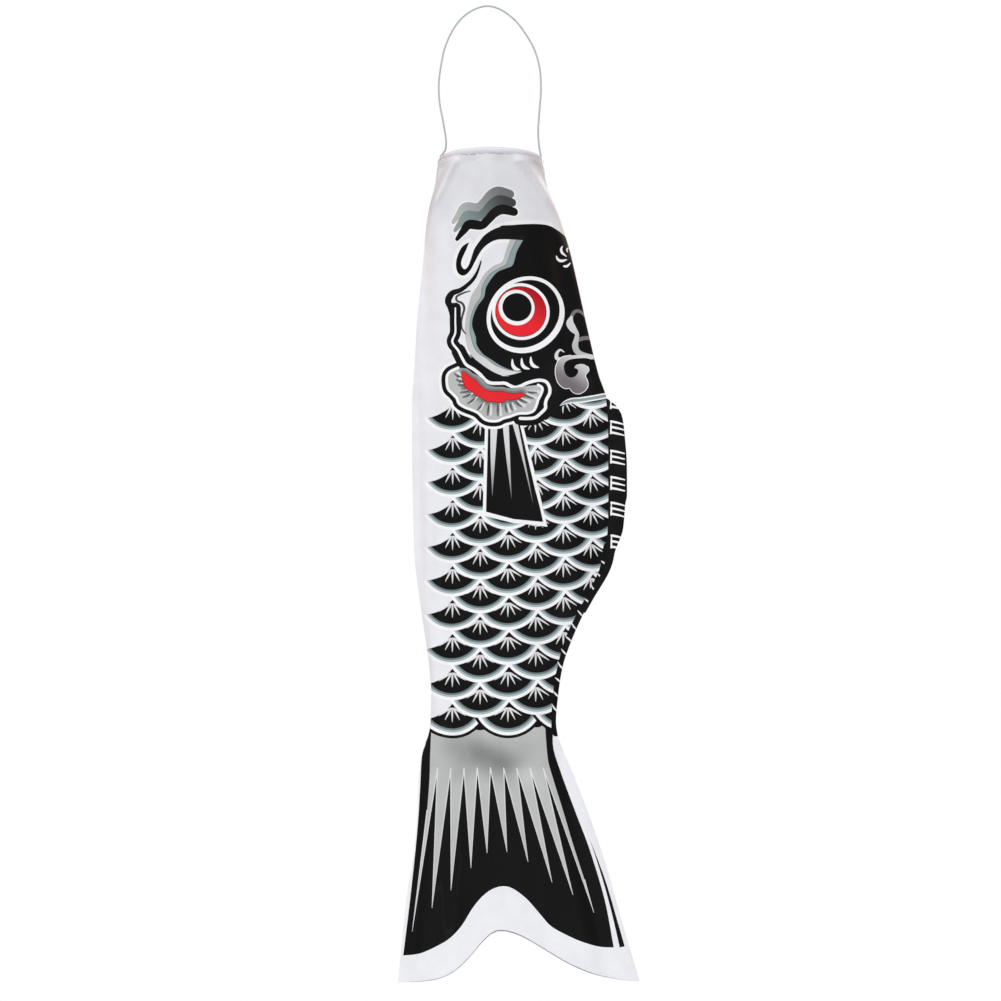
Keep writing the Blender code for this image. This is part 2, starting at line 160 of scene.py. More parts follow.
def brush(route: Sequence[Sequence[float]], width: float | None = None, step: float = 1.3) -> Points:
    """The outline of a brush stroke with round ends.

    Args:
        route: points along the stroke, each with the stroke's width there where width isn't given.
        width: the width all along.
        step: about how far apart points along the stroke lie.

    Returns:
        The stroke's outline, once round.
    """
    line = smooth(route, step)
    spots = line[:, :2]
    half = np.full(len(line), width / 2) if width is not None else np.maximum(line[:, 2], 0.15) / 2
    along = np.gradient(spots, axis=0)
    along /= np.linalg.norm(along, axis=1)[:, None]
    across = np.stack([-along[:, 1], along[:, 0]], 1) * half[:, None]
    end = cap(spots[-1], along[-1], half[-1])
    start = cap(spots[0], -along[0], half[0])
    return np.concatenate([spots + across, end, (spots - across)[::-1], start])


def disc(across: float, down: float, radius: float, tall: float | None = None, lean: float = 0.0) -> Points:
    """A round or oval outline.

    Args:
        across: its middle's place across.
        down: its middle's place down.
        radius: its radius across.
        tall: its radius up and down, where that differs.
        lean: how far it is turned towards the belly, in degrees.

    Returns:
        The outline's points, once round.
    """
    high = radius if tall is None else tall
    turns = np.arange(0, 2 * math.pi, 1.5 / max(radius, high))
    wide, deep = radius * np.cos(turns), high * np.sin(turns)
    sine, cosine = math.sin(math.radians(lean)), math.cos(math.radians(lean))
    return np.stack([across + wide * cosine - deep * sine, down + wide * sine + deep * cosine], 1)


def inside(points: Points, ring: Points) -> Points:
    """Which points lie inside a closed outline.

    Args:
        points: the points to test.
        ring: the outline.

    Returns:
        A mask with one truth value for each point.
    """
    found = np.zeros(len(points), bool)
    near = np.flatnonzero(((points >= ring.min(0)) & (points <= ring.max(0))).all(1))
    following = np.roll(ring, -1, axis=0)
    rise = following[:, 1] - ring[:, 1]
    run = (following[:, 0] - ring[:, 0]) / np.where(rise == 0, 1, rise)
    for part in np.array_split(near, len(near) // 4000 + 1):
        x = points[part, 0][:, None]
        y = points[part, 1][:, None]
        crosses = (ring[:, 1] > y) != (following[:, 1] > y)
        beyond = x < run * (y - ring[:, 1]) + ring[:, 0]
        found[part] = (crosses & beyond).sum(1) % 2 == 1
    return found


@dataclass(frozen=True)
class Shape:
    """One printed shape: its outline and the ink inside it."""

    ring: Points
    ink: Ink
    second: Ink | None = None
    fade: tuple[tuple[float, float], tuple[float, float]] = ((0, 0), (1, 0))
    round: bool = False

    def colours(self, points: Points) -> Points:
        """The ink at each point.

        Args:
            points: places on the cloth.

        Returns:
            One colour for each; between two inks it fades from the first place of fade to the second,
            or outwards from the first place, where round is set.
        """
        first = np.array(self.ink.value)
        if self.second is None:
            return np.tile(first, (len(points), 1))
        start = np.array(self.fade[0], float)
        way = np.array(self.fade[1], float) - start
        if self.round:
            share = np.linalg.norm(points - start, axis=1) / np.linalg.norm(way)
        else:
            share = (points - start) @ way / (way @ way)
        share = np.clip(share, 0, 1)[:, None]
        share = share * share * (3 - 2 * share)
        return first * (1 - share) + np.array(self.second.value) * share


@dataclass(frozen=True)
class Foil(Shape):
    """Printed silver with the soft clouds of crumpled foil."""

    clouds: tuple[tuple[float, float, float, float], ...] = (
        (-8, 503, 17, -0.5), (14, 512, 15, -0.46), (-30, 496, 12, -0.16), (36, 498, 10, -0.12),
        (-20, 520, 9, -0.1),
        (2, 488, 8, 0.12), (30, 520, 9, 0.14), (46, 512, 7, -0.1), (-42, 512, 7, -0.06),
    )

    def colours(self, points: Points) -> Points:
        """The silver at each point, with its clouds."""
        light = np.ones(len(points))
        for across, down, size, strength in self.clouds:
            away = ((points[:, 0] - across) ** 2 + 1.4 * (points[:, 1] - down) ** 2) / size**2
            light += strength * np.exp(-away)
        return np.array(self.ink.value) * light[:, None]


# ------------------------------------------------------------------------------ the printed carp


@dataclass(frozen=True)
class Waves:
    """Three wavy bars above the brow, one behind the other."""

    bar: tuple[tuple[float, float], ...] = (
        (-25, 72.5), (-19.5, 66), (-15, 61.5), (-5, 62.5), (0, 59), (6, 53), (12, 50), (18, 50.5),
        (22.5, 51.5),
    )
    widths: tuple[float, ...] = (3.4, 6.2, 7.6, 7.2, 7.0, 7.6, 7.8, 7.4, 6.8)
    rim: float = 2.6

    def shapes(self) -> list[Shape]:
        """The bars from back to front."""
        steps = ((-3.2, -14.2, Ink.SILVER, Ink.STONE), (-1.6, -7.4, Ink.TEAL, Ink.CHARCOAL))
        steps += ((0.0, 0.0, Ink.BLACK, None),)
        found, bars = [], []
        for across, down, ink, second in steps:
            place = np.array(self.bar) + (across, down)
            route = np.column_stack([place, self.widths])
            found.append(Shape(brush(route + (0, 0, self.rim)), Ink.WHITE))
            bars.append(Shape(brush(route), ink, second, (tuple(place[0]), tuple(place[-1]))))
        return found + bars


@dataclass(frozen=True)
class Face:
    """The black head with its bands of silver and teal, the brow's hook and the snout."""

    hook: tuple[tuple[float, float], ...] = (
        (-15, 76), (-20, 78.5), (-24, 84.5), (-26, 92.5), (-25, 99.5), (-21.5, 103), (-17.5, 102.5),
        (-13.5, 98.5), (-10, 92), (-5, 83.5), (0, 78.5), (6.5, 75), (15, 74), (32, 74.5),
    )
    brow: tuple[tuple[float, float], ...] = (
        (95, 82), (80, 73), (66, 67), (59.5, 63.5), (52.5, 60.5), (44.5, 60), (36, 60.5),
        (23.5, 62), (11, 64),
        (3.5, 67), (-2.5, 71), (-7.5, 77), (-11, 82.5), (-13.5, 90), (-16, 96), (-19, 98), (-21.5, 94.5),
        (-21, 89.5), (-17.5, 82), (-15, 76),
    )
    silver: tuple[tuple[float, float], ...] = (
        (20, 72), (16, 82.5), (12.5, 92.5), (6.5, 95.5), (0, 100.5), (-4, 105.5), (-7.5, 112),
        (-12.5, 119.5),
        (-15, 127), (-17.5, 138), (-18.5, 150), (-16.5, 164), (-11.5, 172.5), (-6, 177.5), (0, 182),
        (6.5, 186), (13.5, 188.5), (21.5, 187.5), (31, 184.5),
    )
    teal: tuple[tuple[float, float], ...] = (
        (26, 72), (20, 84.5), (16.5, 94.5), (11, 98), (4, 102), (-1, 108), (-4, 114.5), (-5, 122),
        (-10, 129.5),
        (-13.5, 140), (-14, 150), (-11.5, 161.5), (-7.5, 168.5), (0, 174), (8, 180), (20, 184), (31, 184.5),
    )
    black: tuple[tuple[float, float], ...] = (
        (31.5, 72), (25, 83.5), (21.5, 95), (16, 98), (9, 101), (3.5, 107), (-1, 114.5), (-2.5, 122),
        (-7.5, 129),
        (-11, 136.5), (-12.5, 145.5), (-9.5, 155.5), (-8.5, 162.5), (-3.5, 170), (3.5, 175), (11, 180),
        (19, 183.5), (27.5, 184.5), (35, 190),
    )
    snout: tuple[tuple[float, float, float], ...] = (
        (-5, 92, 1.2), (-7.5, 99.5, 2), (-11, 106, 3), (-16, 111, 3.4), (-22.5, 115.5, 4),
        (-28.5, 117.5, 4.8),
        (-31.5, 121, 5.6), (-32.5, 125, 5.4), (-30.5, 130, 5), (-29, 138, 4), (-28.5, 150, 3.6),
    )
    nose: tuple[tuple[float, float, float], ...] = (
        (-14, 116.5, 0.8), (-20, 118, 1.6), (-25.5, 121, 1.8), (-25, 124.5, 1.8), (-21, 126.5, 2),
        (-19, 131, 2),
        (-20.5, 137, 1.8), (-21.5, 142, 1.8), (-21, 148, 1.6), (-17.5, 153, 0.8),
    )

    def shapes(self) -> list[Shape]:
        """The head's shapes from back to front."""
        right = ((120, 205), (120, 82), (95, 82))
        low = ((35, 190), (46, 224), (56, 219), (69, 210.5), (86, 208), (98, 205.5), (120, 205))
        mass = outline(self.black, low, right, self.brow[:9] + ((31.5, 72),))
        found = [Shape(brush(self.brow[4:], 6.5), Ink.WHITE), Shape(brush(self.hook, 6.0), Ink.WHITE)]
        close = ((31, 184.5), (60, 184.5), (60, 72))
        found.append(Shape(outline(self.silver, close, ((60, 72), (20, 72))), Ink.SILVER, Ink.PALE_SILVER,
                           ((-14, 130), (10, 192))))
        found.append(Shape(brush(self.teal, 1.0), Ink.DEEP_TEAL))
        found.append(Shape(outline(self.teal, close, ((60, 72), (26, 72))), Ink.TEAL))
        found.append(Shape(mass, Ink.BLACK))
        found.append(Shape(outline(self.hook, ((32, 74.5), (60, 90), (95, 82)), self.brow), Ink.BLACK))
        found += [Shape(brush(self.snout), Ink.BLACK), Shape(brush(self.nose), Ink.CHARCOAL)]
        found.append(Shape(brush(((-26.5, 133, 1.4), (-25, 137, 2.2), (-24, 140.5, 1.2))), Ink.BLACK))
        return found


@dataclass(frozen=True)
class Eye:
    """The staring eye: white rims, a black crescent, the red and the pupil."""

    rim: tuple[float, float, float, float, float] = (32.2, 136.9, 34.4, 30.6, -45)
    crescent: tuple[float, float, float, float, float] = (31.8, 136.2, 31.0, 26.4, -45)
    middle: tuple[float, float] = (28.2, 134.3)
    pupil: tuple[float, float] = (25, 130.7)

    def shapes(self) -> list[Shape]:
        """The eye's shapes from back to front."""
        centre = self.middle
        inner = (self.pupil[0] - 0.4, self.pupil[1] + 0.3)
        return [
            Shape(disc(*self.rim), Ink.WHITE),
            Shape(disc(*self.crescent), Ink.BLACK),
            Shape(disc(*centre, 24), Ink.WHITE),
            Shape(disc(*centre, 21.4), Ink.BLACK),
            Shape(disc(*centre, 20.9), Ink.RED, Ink.DEEP_RED, ((30, 146), (52, 112))),
            Shape(disc(*inner, 15), Ink.WHITE),
            Shape(disc(*self.pupil, 12.2, 11.9), Ink.BLACK),
        ]


@dataclass(frozen=True)
class Marks:
    """The small white crescents on the brow and the cheek."""

    pinwheel: tuple[tuple[tuple[float, float, float], ...], ...] = (
        ((63.1, 76.5, 0.9), (62, 79, 1.9), (62.8, 82, 2.2), (66.2, 84.5, 1.0)),
        ((58.1, 85.4, 1.0), (59.2, 88, 2.2), (62.3, 89, 2.4), (66.5, 87.5, 1.0)),
        ((64.6, 93.3, 1.8), (67, 93, 2.0), (69.6, 90, 0.9)),
        ((68, 76.8, 0.8), (66.8, 78.8, 1.4), (67.4, 80.8, 0.6)),
    )
    cheek: tuple[tuple[float, float], ...] = ((21, 175), (28.8, 174), (36.4, 172.6))

    def shapes(self) -> list[Shape]:
        """The marks, which don't touch each other."""
        found = [Shape(brush(route, step=0.8), Ink.WHITE) for route in self.pinwheel]
        for across, down in self.cheek:
            route = ((across, down, 1.0), (across + 0.4, down + 4.5, 2.6), (across + 2.4, down + 7.4, 2.9))
            route += ((across + 6.4, down + 8.6, 0.9),)
            found.append(Shape(brush(route, step=0.8), Ink.WHITE))
        return found


@dataclass(frozen=True)
class Clouds:
    """The scrolls on the back of the head."""

    stem: tuple[tuple[float, float, float], ...] = (
        (70.5, 136.7, 2.4), (69.3, 142, 6.4), (71.6, 146.5, 6.2), (75, 150.7, 3.6), (74.6, 155.4, 4.0),
        (73.5, 161, 5.2), (75.4, 166, 5.0), (80.4, 168.4, 4.2), (88, 169.6, 4.0), (100, 170.5, 4.0),
    )
    top_ribbon: tuple[tuple[float, float, float], ...] = (
        (83, 136.5, 1.6), (80.4, 132.8, 2.6), (76.2, 130.8, 2.8), (72.7, 132.4, 2.8), (70.8, 136, 3.0),
    )
    side_ribbon: tuple[tuple[float, float, float], ...] = (
        (75.4, 156.4, 3.2), (80.4, 154.2, 3.4), (86, 153.2, 3.4), (94, 151, 3.4),
    )
    curl: tuple[tuple[float, float, float], ...] = (
        (64, 167.2, 1.0), (61, 165.8, 1.8), (58.2, 168.8, 2.6), (58, 172.8, 3.4), (61.4, 174.2, 3.4),
    )
    spiral: tuple[tuple[float, float], ...] = (
        (88, 171.7), (82.7, 171.2), (76.2, 171.6), (69.8, 173), (66, 175.2), (64.2, 178.2), (64.2, 182.4),
        (65.6, 186.2), (68.4, 188.5), (72, 188), (74.8, 185.8), (76.1, 183), (75.3, 180.8), (73, 180),
        (73.9, 177.8), (77.2, 176.4), (80.9, 176.6), (84, 178.6), (84.8, 181.5), (82.7, 184.3),
        (81.8, 186.8),
        (83.7, 190.8), (83.8, 195.5), (81.3, 199.2), (77.2, 201.6), (73.5, 201.6), (70.7, 200.2),
        (68.8, 197.8),
        (65, 198.4), (61.4, 196.4), (58.6, 192.6), (57.2, 187), (57.2, 181.5), (58.6, 176.8), (60.5, 174),
        (63.2, 171.7), (69.7, 169.8), (74.8, 168.9), (88, 168),
    )

    def shapes(self) -> list[Shape]:
        """The scrolls and the line along the neck, from back to front."""
        neck = ((61, 213, 0.8), (66, 210, 3.4), (72, 208, 4.6), (80, 206.8, 4.8), (90, 205, 4.8),
                (99, 202.5, 4.8))
        return [
            Shape(brush(self.top_ribbon), Ink.MAUVE, Ink.STONE, ((76, 131), (70, 138))),
            Shape(brush(self.side_ribbon), Ink.STONE, Ink.MAUVE, ((75, 156), (84, 153))),
            Shape(brush(self.stem), Ink.PALE_SILVER, Ink.SILVER, ((68, 142), (80, 160))),
            Shape(brush(self.curl), Ink.PALE_SILVER),
            Shape(brush(self.spiral[17:37], 1.2), Ink.WHITE),
            Shape(outline(self.spiral), Ink.PALE_SILVER, Ink.MAUVE, ((78, 170), (66, 193))),
            Shape(brush(neck), Ink.WHITE),
            Shape(brush([(across, down, width * 0.52) for across, down, width in neck]), Ink.TEAL),
        ]


@dataclass(frozen=True)
class Mouth:
    """The lip, the frilled lower jaw and the red inside."""

    lip: tuple[tuple[float, float], ...] = (
        (-26.5, 130.5), (-26.5, 141.5), (-26.5, 151.5), (-29, 159), (-24, 166.5), (-21, 172.5),
        (-17.5, 178.5),
        (-11.5, 182.5), (-6, 187), (-1.5, 192), (2.5, 194.5), (8.5, 195), (15, 195), (19, 197),
        (23.5, 198.5),
        (28.5, 197), (33.5, 194.5), (40, 192.5), (45, 192), (49.5, 193.5), (52, 198), (52, 203),
        (49.5, 208),
        (48.5, 212), (48.5, 215.5), (45, 219.5), (40, 223.5), (34, 224.5), (27.5, 224.5),
    )
    frill: tuple[tuple[float, float], ...] = (
        (-24, 181), (-31, 184.5), (-33.5, 189.5), (-32.5, 198.5), (-28.5, 203), (-25, 207), (-23.5, 211),
        (-18.5, 214.5), (-12.5, 217), (-7.5, 219.5), (-2.5, 224.5), (2.5, 226.5), (9, 226.5), (13.5, 224.5),
        (19, 223), (26, 220.5), (33.5, 220), (38.5, 218), (41, 213.5), (42.5, 208.5), (45, 203.5),
        (46, 198.5),
        (42.5, 196),
    )
    flutes: tuple[tuple[float, float, float, float], ...] = (
        (-27, 186, -21.5, 189.5), (-25.5, 191, -19, 193), (-24, 195.5, -18.5, 195.5),
        (-22, 202, -15, 200.5),
        (-20, 206, -13.5, 203.5), (-16, 211.5, -10, 207), (-8, 217, -4, 212), (0.5, 221.5, 1.5, 213),
        (9, 222, 9, 213), (16.5, 219.5, 15, 213), (21, 217.5, 19, 212), (28.5, 214.5, 23.5, 210.5),
        (33, 211, 26.5, 208), (38.5, 207.5, 31, 204.5), (41, 202.5, 33.5, 202),
    )
    red: tuple[tuple[float, float], ...] = (
        (-21.5, 187.5), (-20, 185), (-17.5, 186.5), (-14, 189.5), (-10, 192), (-7.5, 195),
        (-4, 198.5), (0, 201),
        (6.5, 202), (12.5, 202), (17.5, 203.5), (23.5, 204), (28.5, 203), (30, 204.5),
        (27.5, 207), (20, 209),
        (16.5, 208.5), (13.5, 210.5), (9, 211), (5, 210), (1, 210), (-2.5, 208.5), (-5, 206), (-9, 204.5),
        (-11.5, 202), (-14, 200.5), (-17.5, 198.5), (-19, 195), (-20, 192),
    )

    def shapes(self) -> list[Shape]:
        """The mouth's shapes from back to front."""
        jaw = self.frill + ((34, 197), (19, 199), (2.5, 196.5), (-6, 189), (-15, 183))
        whole = outline(self.frill,
                        ((42.5, 196), (34, 197), (19, 199), (2.5, 196.5), (-6, 189), (-24, 181)))
        found = [
            Shape(brush(self.frill[:19], 13.5), Ink.WHITE),
            Shape(brush(self.lip[4:], 12.0), Ink.BLACK),
            Shape(brush(self.lip, 7.0), Ink.BLACK),
            Shape(brush(self.lip[:6], 9.4), Ink.BLACK),
            Shape(brush(self.frill[:19], 9.0), Ink.BLACK),
            Shape(outline(jaw), Ink.BLACK),
            Shape(brush(np.column_stack([self.lip, self.line_widths()])), Ink.WHITE),
            Shape(whole, Ink.STONE, Ink.SILVER, ((8, 196), (8, 228)), True),
            Shape(brush(self.red + self.red[:1], 8.0), Ink.PEWTER),
            Shape(brush(self.red + self.red[:1], 4.6), Ink.STONE),
            Shape(brush(self.frill, 2.2), Ink.WHITE),
        ]
        for across, down, end_across, end_down in self.flutes:
            middle = ((across + end_across) / 2, (down + end_down) / 2 + 0.4)
            light = ((across + 2.6, down - 0.6, 2.4), (end_across + 2, end_down - 0.8, 1.0))
            found.append(Shape(brush(light, step=1.6), Ink.PALE_SILVER))
            route = ((across, down, 1.4), (*middle, 2.2), (end_across, end_down, 0.6))
            found.append(Shape(brush(route, step=1.6), Ink.CHARCOAL, Ink.STONE,
                               ((end_across, end_down), (across, down))))
        found += [Shape(brush(self.red + self.red[:1], 1.2), Ink.DEEP_RED),
                  Shape(outline(self.red), Ink.RED)]
        return found

    def line_widths(self) -> Points:
        """The lip's white line: thin down the snout and full round the mouth."""
        return np.interp(np.arange(len(self.lip)), (0, 3, 8, len(self.lip) - 1), (1.2, 1.8, 2.8, 2.6))


@dataclass(frozen=True)
class PectoralFin:
    """The fin printed on the flank, with three silver rays."""

    edge: tuple[tuple[float, float], ...] = ((-1.5, 228), (28.5, 224.5), (50, 315), (22, 312),
                                             (-3.5, 305.5))
    black: tuple[tuple[float, float], ...] = ((1, 229), (26.3, 226), (46.5, 311), (22, 308.7),
                                              (-0.8, 302.5))
    rays: tuple[tuple[float, float, float, float], ...] = (
        (2.8, 9, 4.4, 290), (12.8, 18, 20.4, 292), (21, 25.4, 38.5, 297),
    )

    def shapes(self) -> list[Shape]:
        """The fin's shapes from back to front."""
        found = [Shape(np.array(self.edge, float), Ink.WHITE),
                 Shape(np.array(self.black, float), Ink.BLACK)]
        for left, right, across, down in self.rays:
            point = (across, down)
            sides = (((left, 228.5), ((left + across) / 2 - 0.6, 258), point), (point, (right, 227.5)))
            ray = outline(sides[0], sides[1], ((right, 227.5), (left, 228.5)))
            found.append(Shape(ray, Ink.PALE_SILVER, Ink.STONE, ((left, 240), (across, down + 12))))
        return found


@dataclass(frozen=True)
class Scales:
    """Rows of fan-shaped scales, each over the ones below it."""

    across: float = 22.9
    down: float = 28.1
    first: tuple[float, float] = (-28.5, 234.8)
    rows: int = 9
    rings: tuple[tuple[float, Ink], ...] = (
        (28.2, Ink.WHITE), (25.6, Ink.PALE_TEAL), (23.9, Ink.DEEP_TEAL), (22.4, Ink.BLACK),
    )
    rays: tuple[tuple[float, float], ...] = ((0, 17), (5.9, 15.2), (-5.9, 15.2), (11, 11.8), (-11, 11.8))

    def place(self, column: int, row: float) -> tuple[float, float]:
        """Where one scale's point lies.

        Args:
            column: counted from the belly.
            row: counted from the top, with halves in every other column.

        Returns:
            Its across and down.
        """
        across = self.first[0] + self.across * column
        rise = 0.11 * max(0.0, across - 17) + 2.5 * math.sin(math.pi * row / 8)
        return across, self.first[1] + self.down * row - rise

    def shapes(self) -> list[Shape]:
        """The scales from the last row up to the first."""
        found = []
        last = self.rows - 1
        for half_row in range(2 * self.rows, -4, -1):
            row = half_row / 2
            for column in range(-1, 7):
                if (half_row - column) % 2:
                    continue
                across, down = self.place(column, row)
                if row > last:
                    if row < last + 1 and column >= 0:
                        found.append(Shape(disc(across, down, 9.5), Ink.BLACK))
                    continue
                if column < 0:
                    found.append(Shape(disc(across, down, 28.2), Ink.CLOTH))
                    continue
                if row == last:
                    found.append(Shape(disc(across, down, 30.6), Ink.BLACK))
                for radius, ink in self.rings:
                    found.append(Shape(disc(across, down, radius), ink))
                for side, end in self.rays:
                    start = (across + side * 0.16, down + 6.0)
                    middle = (across + side * 0.6, down + 6.0 + (end - 6.0) * 0.5)
                    route = ((*start, 1.5), (*middle, 1.5), (across + side, down + end, 0.4))
                    found.append(Shape(brush(route, step=2.5), Ink.PALE_SILVER))
        return found


@dataclass(frozen=True)
class TailPrint:
    """The silver tail with its black spikes, black hem and white tips."""

    left: tuple[tuple[float, float], ...] = (
        (-48.5, 484), (-50.5, 494), (-53.6, 505), (-55, 532.5), (-57.1, 565.5), (-62, 614.5),
        (-68.3, 667.5),
    )
    low: tuple[tuple[float, float], ...] = (
        (-68.3, 667.5), (-54.5, 666), (-40.6, 660), (-30, 653.5), (-20.2, 643), (-12.1, 630), (-3.9, 620),
        (4.3, 614), (13.2, 611.5), (21.4, 613.5), (32.8, 622), (44.3, 635), (53.2, 644.5), (67.9, 652.5),
        (80.1, 657.5), (92.3, 660.5), (103.7, 661),
    )
    right: tuple[tuple[float, float], ...] = (
        (103.7, 661), (96.6, 622.7), (84.6, 582), (72.3, 549), (61.8, 520.4), (54.8, 498), (54.5, 482),
    )
    tips: tuple[tuple[float, float], ...] = (
        (-61, 648), (-44.8, 629), (-29.3, 614.5), (-13, 596.5), (0.2, 584.5), (16.5, 583.5), (33.7, 591.5),
        (53.3, 608), (70.4, 618.5), (87.5, 632.5),
    )
    wedge: tuple[tuple[float, float], ...] = ((78.9, 556), (92, 596), (101, 628), (108.6, 661),
                                              (112.7, 660))
    notch_top: float = 514.5
    notch_first: float = -40.5
    notch_gap: float = 10.85

    def shapes(self) -> list[Shape]:
        """The tail's shapes from back to front."""
        whole = outline(self.left, self.low, self.right, ((54.5, 482), (0, 470), (-48.5, 484)), step=3)
        wedge = outline(self.wedge[:4], self.wedge[3:], ((112.7, 660), (107, 640), (97, 606), (84.6, 573)),
                        ((84.6, 573), (78.9, 556)), step=3)
        found = [Shape(whole, Ink.BLACK), Shape(wedge, Ink.BLACK)]
        field_edge = ((-45.8, 480), (-46.7, 505.5), (-47.2, 524.5), (-49, 549))
        back_edge = ((80, 606), (70.7, 577), (62.4, 549), (53.6, 520.5), (50, 506), (48, 480))
        notches = [(self.notch_first + self.notch_gap * i, self.notch_top) for i in range(9)]
        runs, rims = [field_edge], []
        corner = field_edge[-1]
        for i, tip in enumerate(self.tips):
            after = notches[i] if i < len(notches) else back_edge[0]
            runs += [(corner, tip), (tip, after)]
            for end in (corner, after):
                rims.append(Shape(brush(((*end, 0.9), (*tip, 0.3)), step=6), Ink.PALE_SILVER))
            corner = after
        runs += [back_edge, ((48, 480), (0, 470), (-45.8, 480))]
        found.append(Foil(outline(*runs, step=3), Ink.SILVER))
        return found + rims


@dataclass(frozen=True)
class BackStrip:
    """The dark edge of the print along the back, broken by small white ticks."""

    line: tuple[tuple[float, float], ...] = (
        (100.5, 330), (97, 350), (88, 369), (78, 388), (69, 407), (63.5, 425), (59.5, 445),
        (57.5, 465), (57, 484),
    )
    ticks: int = 12

    def shapes(self) -> list[Shape]:
        """The strip and its ticks."""
        found = [Shape(brush(self.line, 8.0), Ink.BLACK)]
        line = smooth(self.line, 1.0)
        for i, place in enumerate(np.linspace(14, len(line) - 20, self.ticks).astype(int)):
            across, down = line[place]
            route = ((across - 3.8, down - 1.5 - i % 3, 0.5), (across - 1.6, down, 1.5),
                     (across + 2, down + 3, 0.8))
            found.append(Shape(brush(route), Ink.WHITE))
        return found


def carp() -> list[Shape]:
    """The whole print from back to front."""
    parts = (TailPrint(), Scales(), BackStrip(), Face(), Clouds(), Marks(), Eye(), PectoralFin(),
             Waves(), Mouth())
    return [shape for part in parts for shape in part.shapes()]


# ------------------------------------------------------------------------------ the cloth's form


@dataclass
class Line:
    """A smooth line down the cloth through its stations, with no bumps between them."""

    stations: Sequence[tuple[float, float]]
    places: Points = field(init=False)
    values: Points = field(init=False)
    tangents: Points = field(init=False)

    def __post_init__(self) -> None:
        """Work out how steep the line is at each station."""
        self.places = np.array([station[0] for station in self.stations], float)
        self.values = np.array([station[1] for station in self.stations], float)
        slopes = np.diff(self.values) / np.diff(self.places)
        before, after = slopes[:-1], slopes[1:]
        total = np.where(before * after > 0, before + after, 1)
        inner = np.where(before * after > 0, 2 * before * after / total, 0)
        self.tangents = np.concatenate([slopes[:1], inner, slopes[-1:]])

    def at(self, down: Points | float) -> Points:
        """The line's value at each place down the cloth."""
        down = np.clip(np.asarray(down, float), self.places[0], self.places[-1])
        i = np.clip(np.searchsorted(self.places, down) - 1, 0, len(self.places) - 2)
        step = self.places[i + 1] - self.places[i]
        t = (down - self.places[i]) / step
        mix = t * t * (3 - 2 * t)
        pull = t * (1 - t) ** 2 * step * self.tangents[i] + t * t * (t - 1) * step * self.tangents[i + 1]
        return self.values[i] * (1 - mix) + self.values[i + 1] * mix + pull


@dataclass(frozen=True)
class Fold:
    """One soft fold of the cloth: a ridge, or a valley where its height is negative."""

    start: tuple[float, float]
    end: tuple[float, float]
    width: float
    height: float

    def lift(self, across: Points, down: Points) -> Points:
        """How far the fold lifts the cloth at each place."""
        a = np.array(self.start, float)
        way = np.array(self.end, float) - a
        length = float(np.linalg.norm(way))
        way /= length
        along = (across - a[0]) * way[0] + (down - a[1]) * way[1]
        aside = (across - a[0]) * -way[1] + (down - a[1]) * way[0]
        beyond = np.maximum(0, np.maximum(-along, along - length)) / (0.25 * length + self.width)
        return self.height * np.exp(-((aside / self.width) ** 2) - beyond**2)


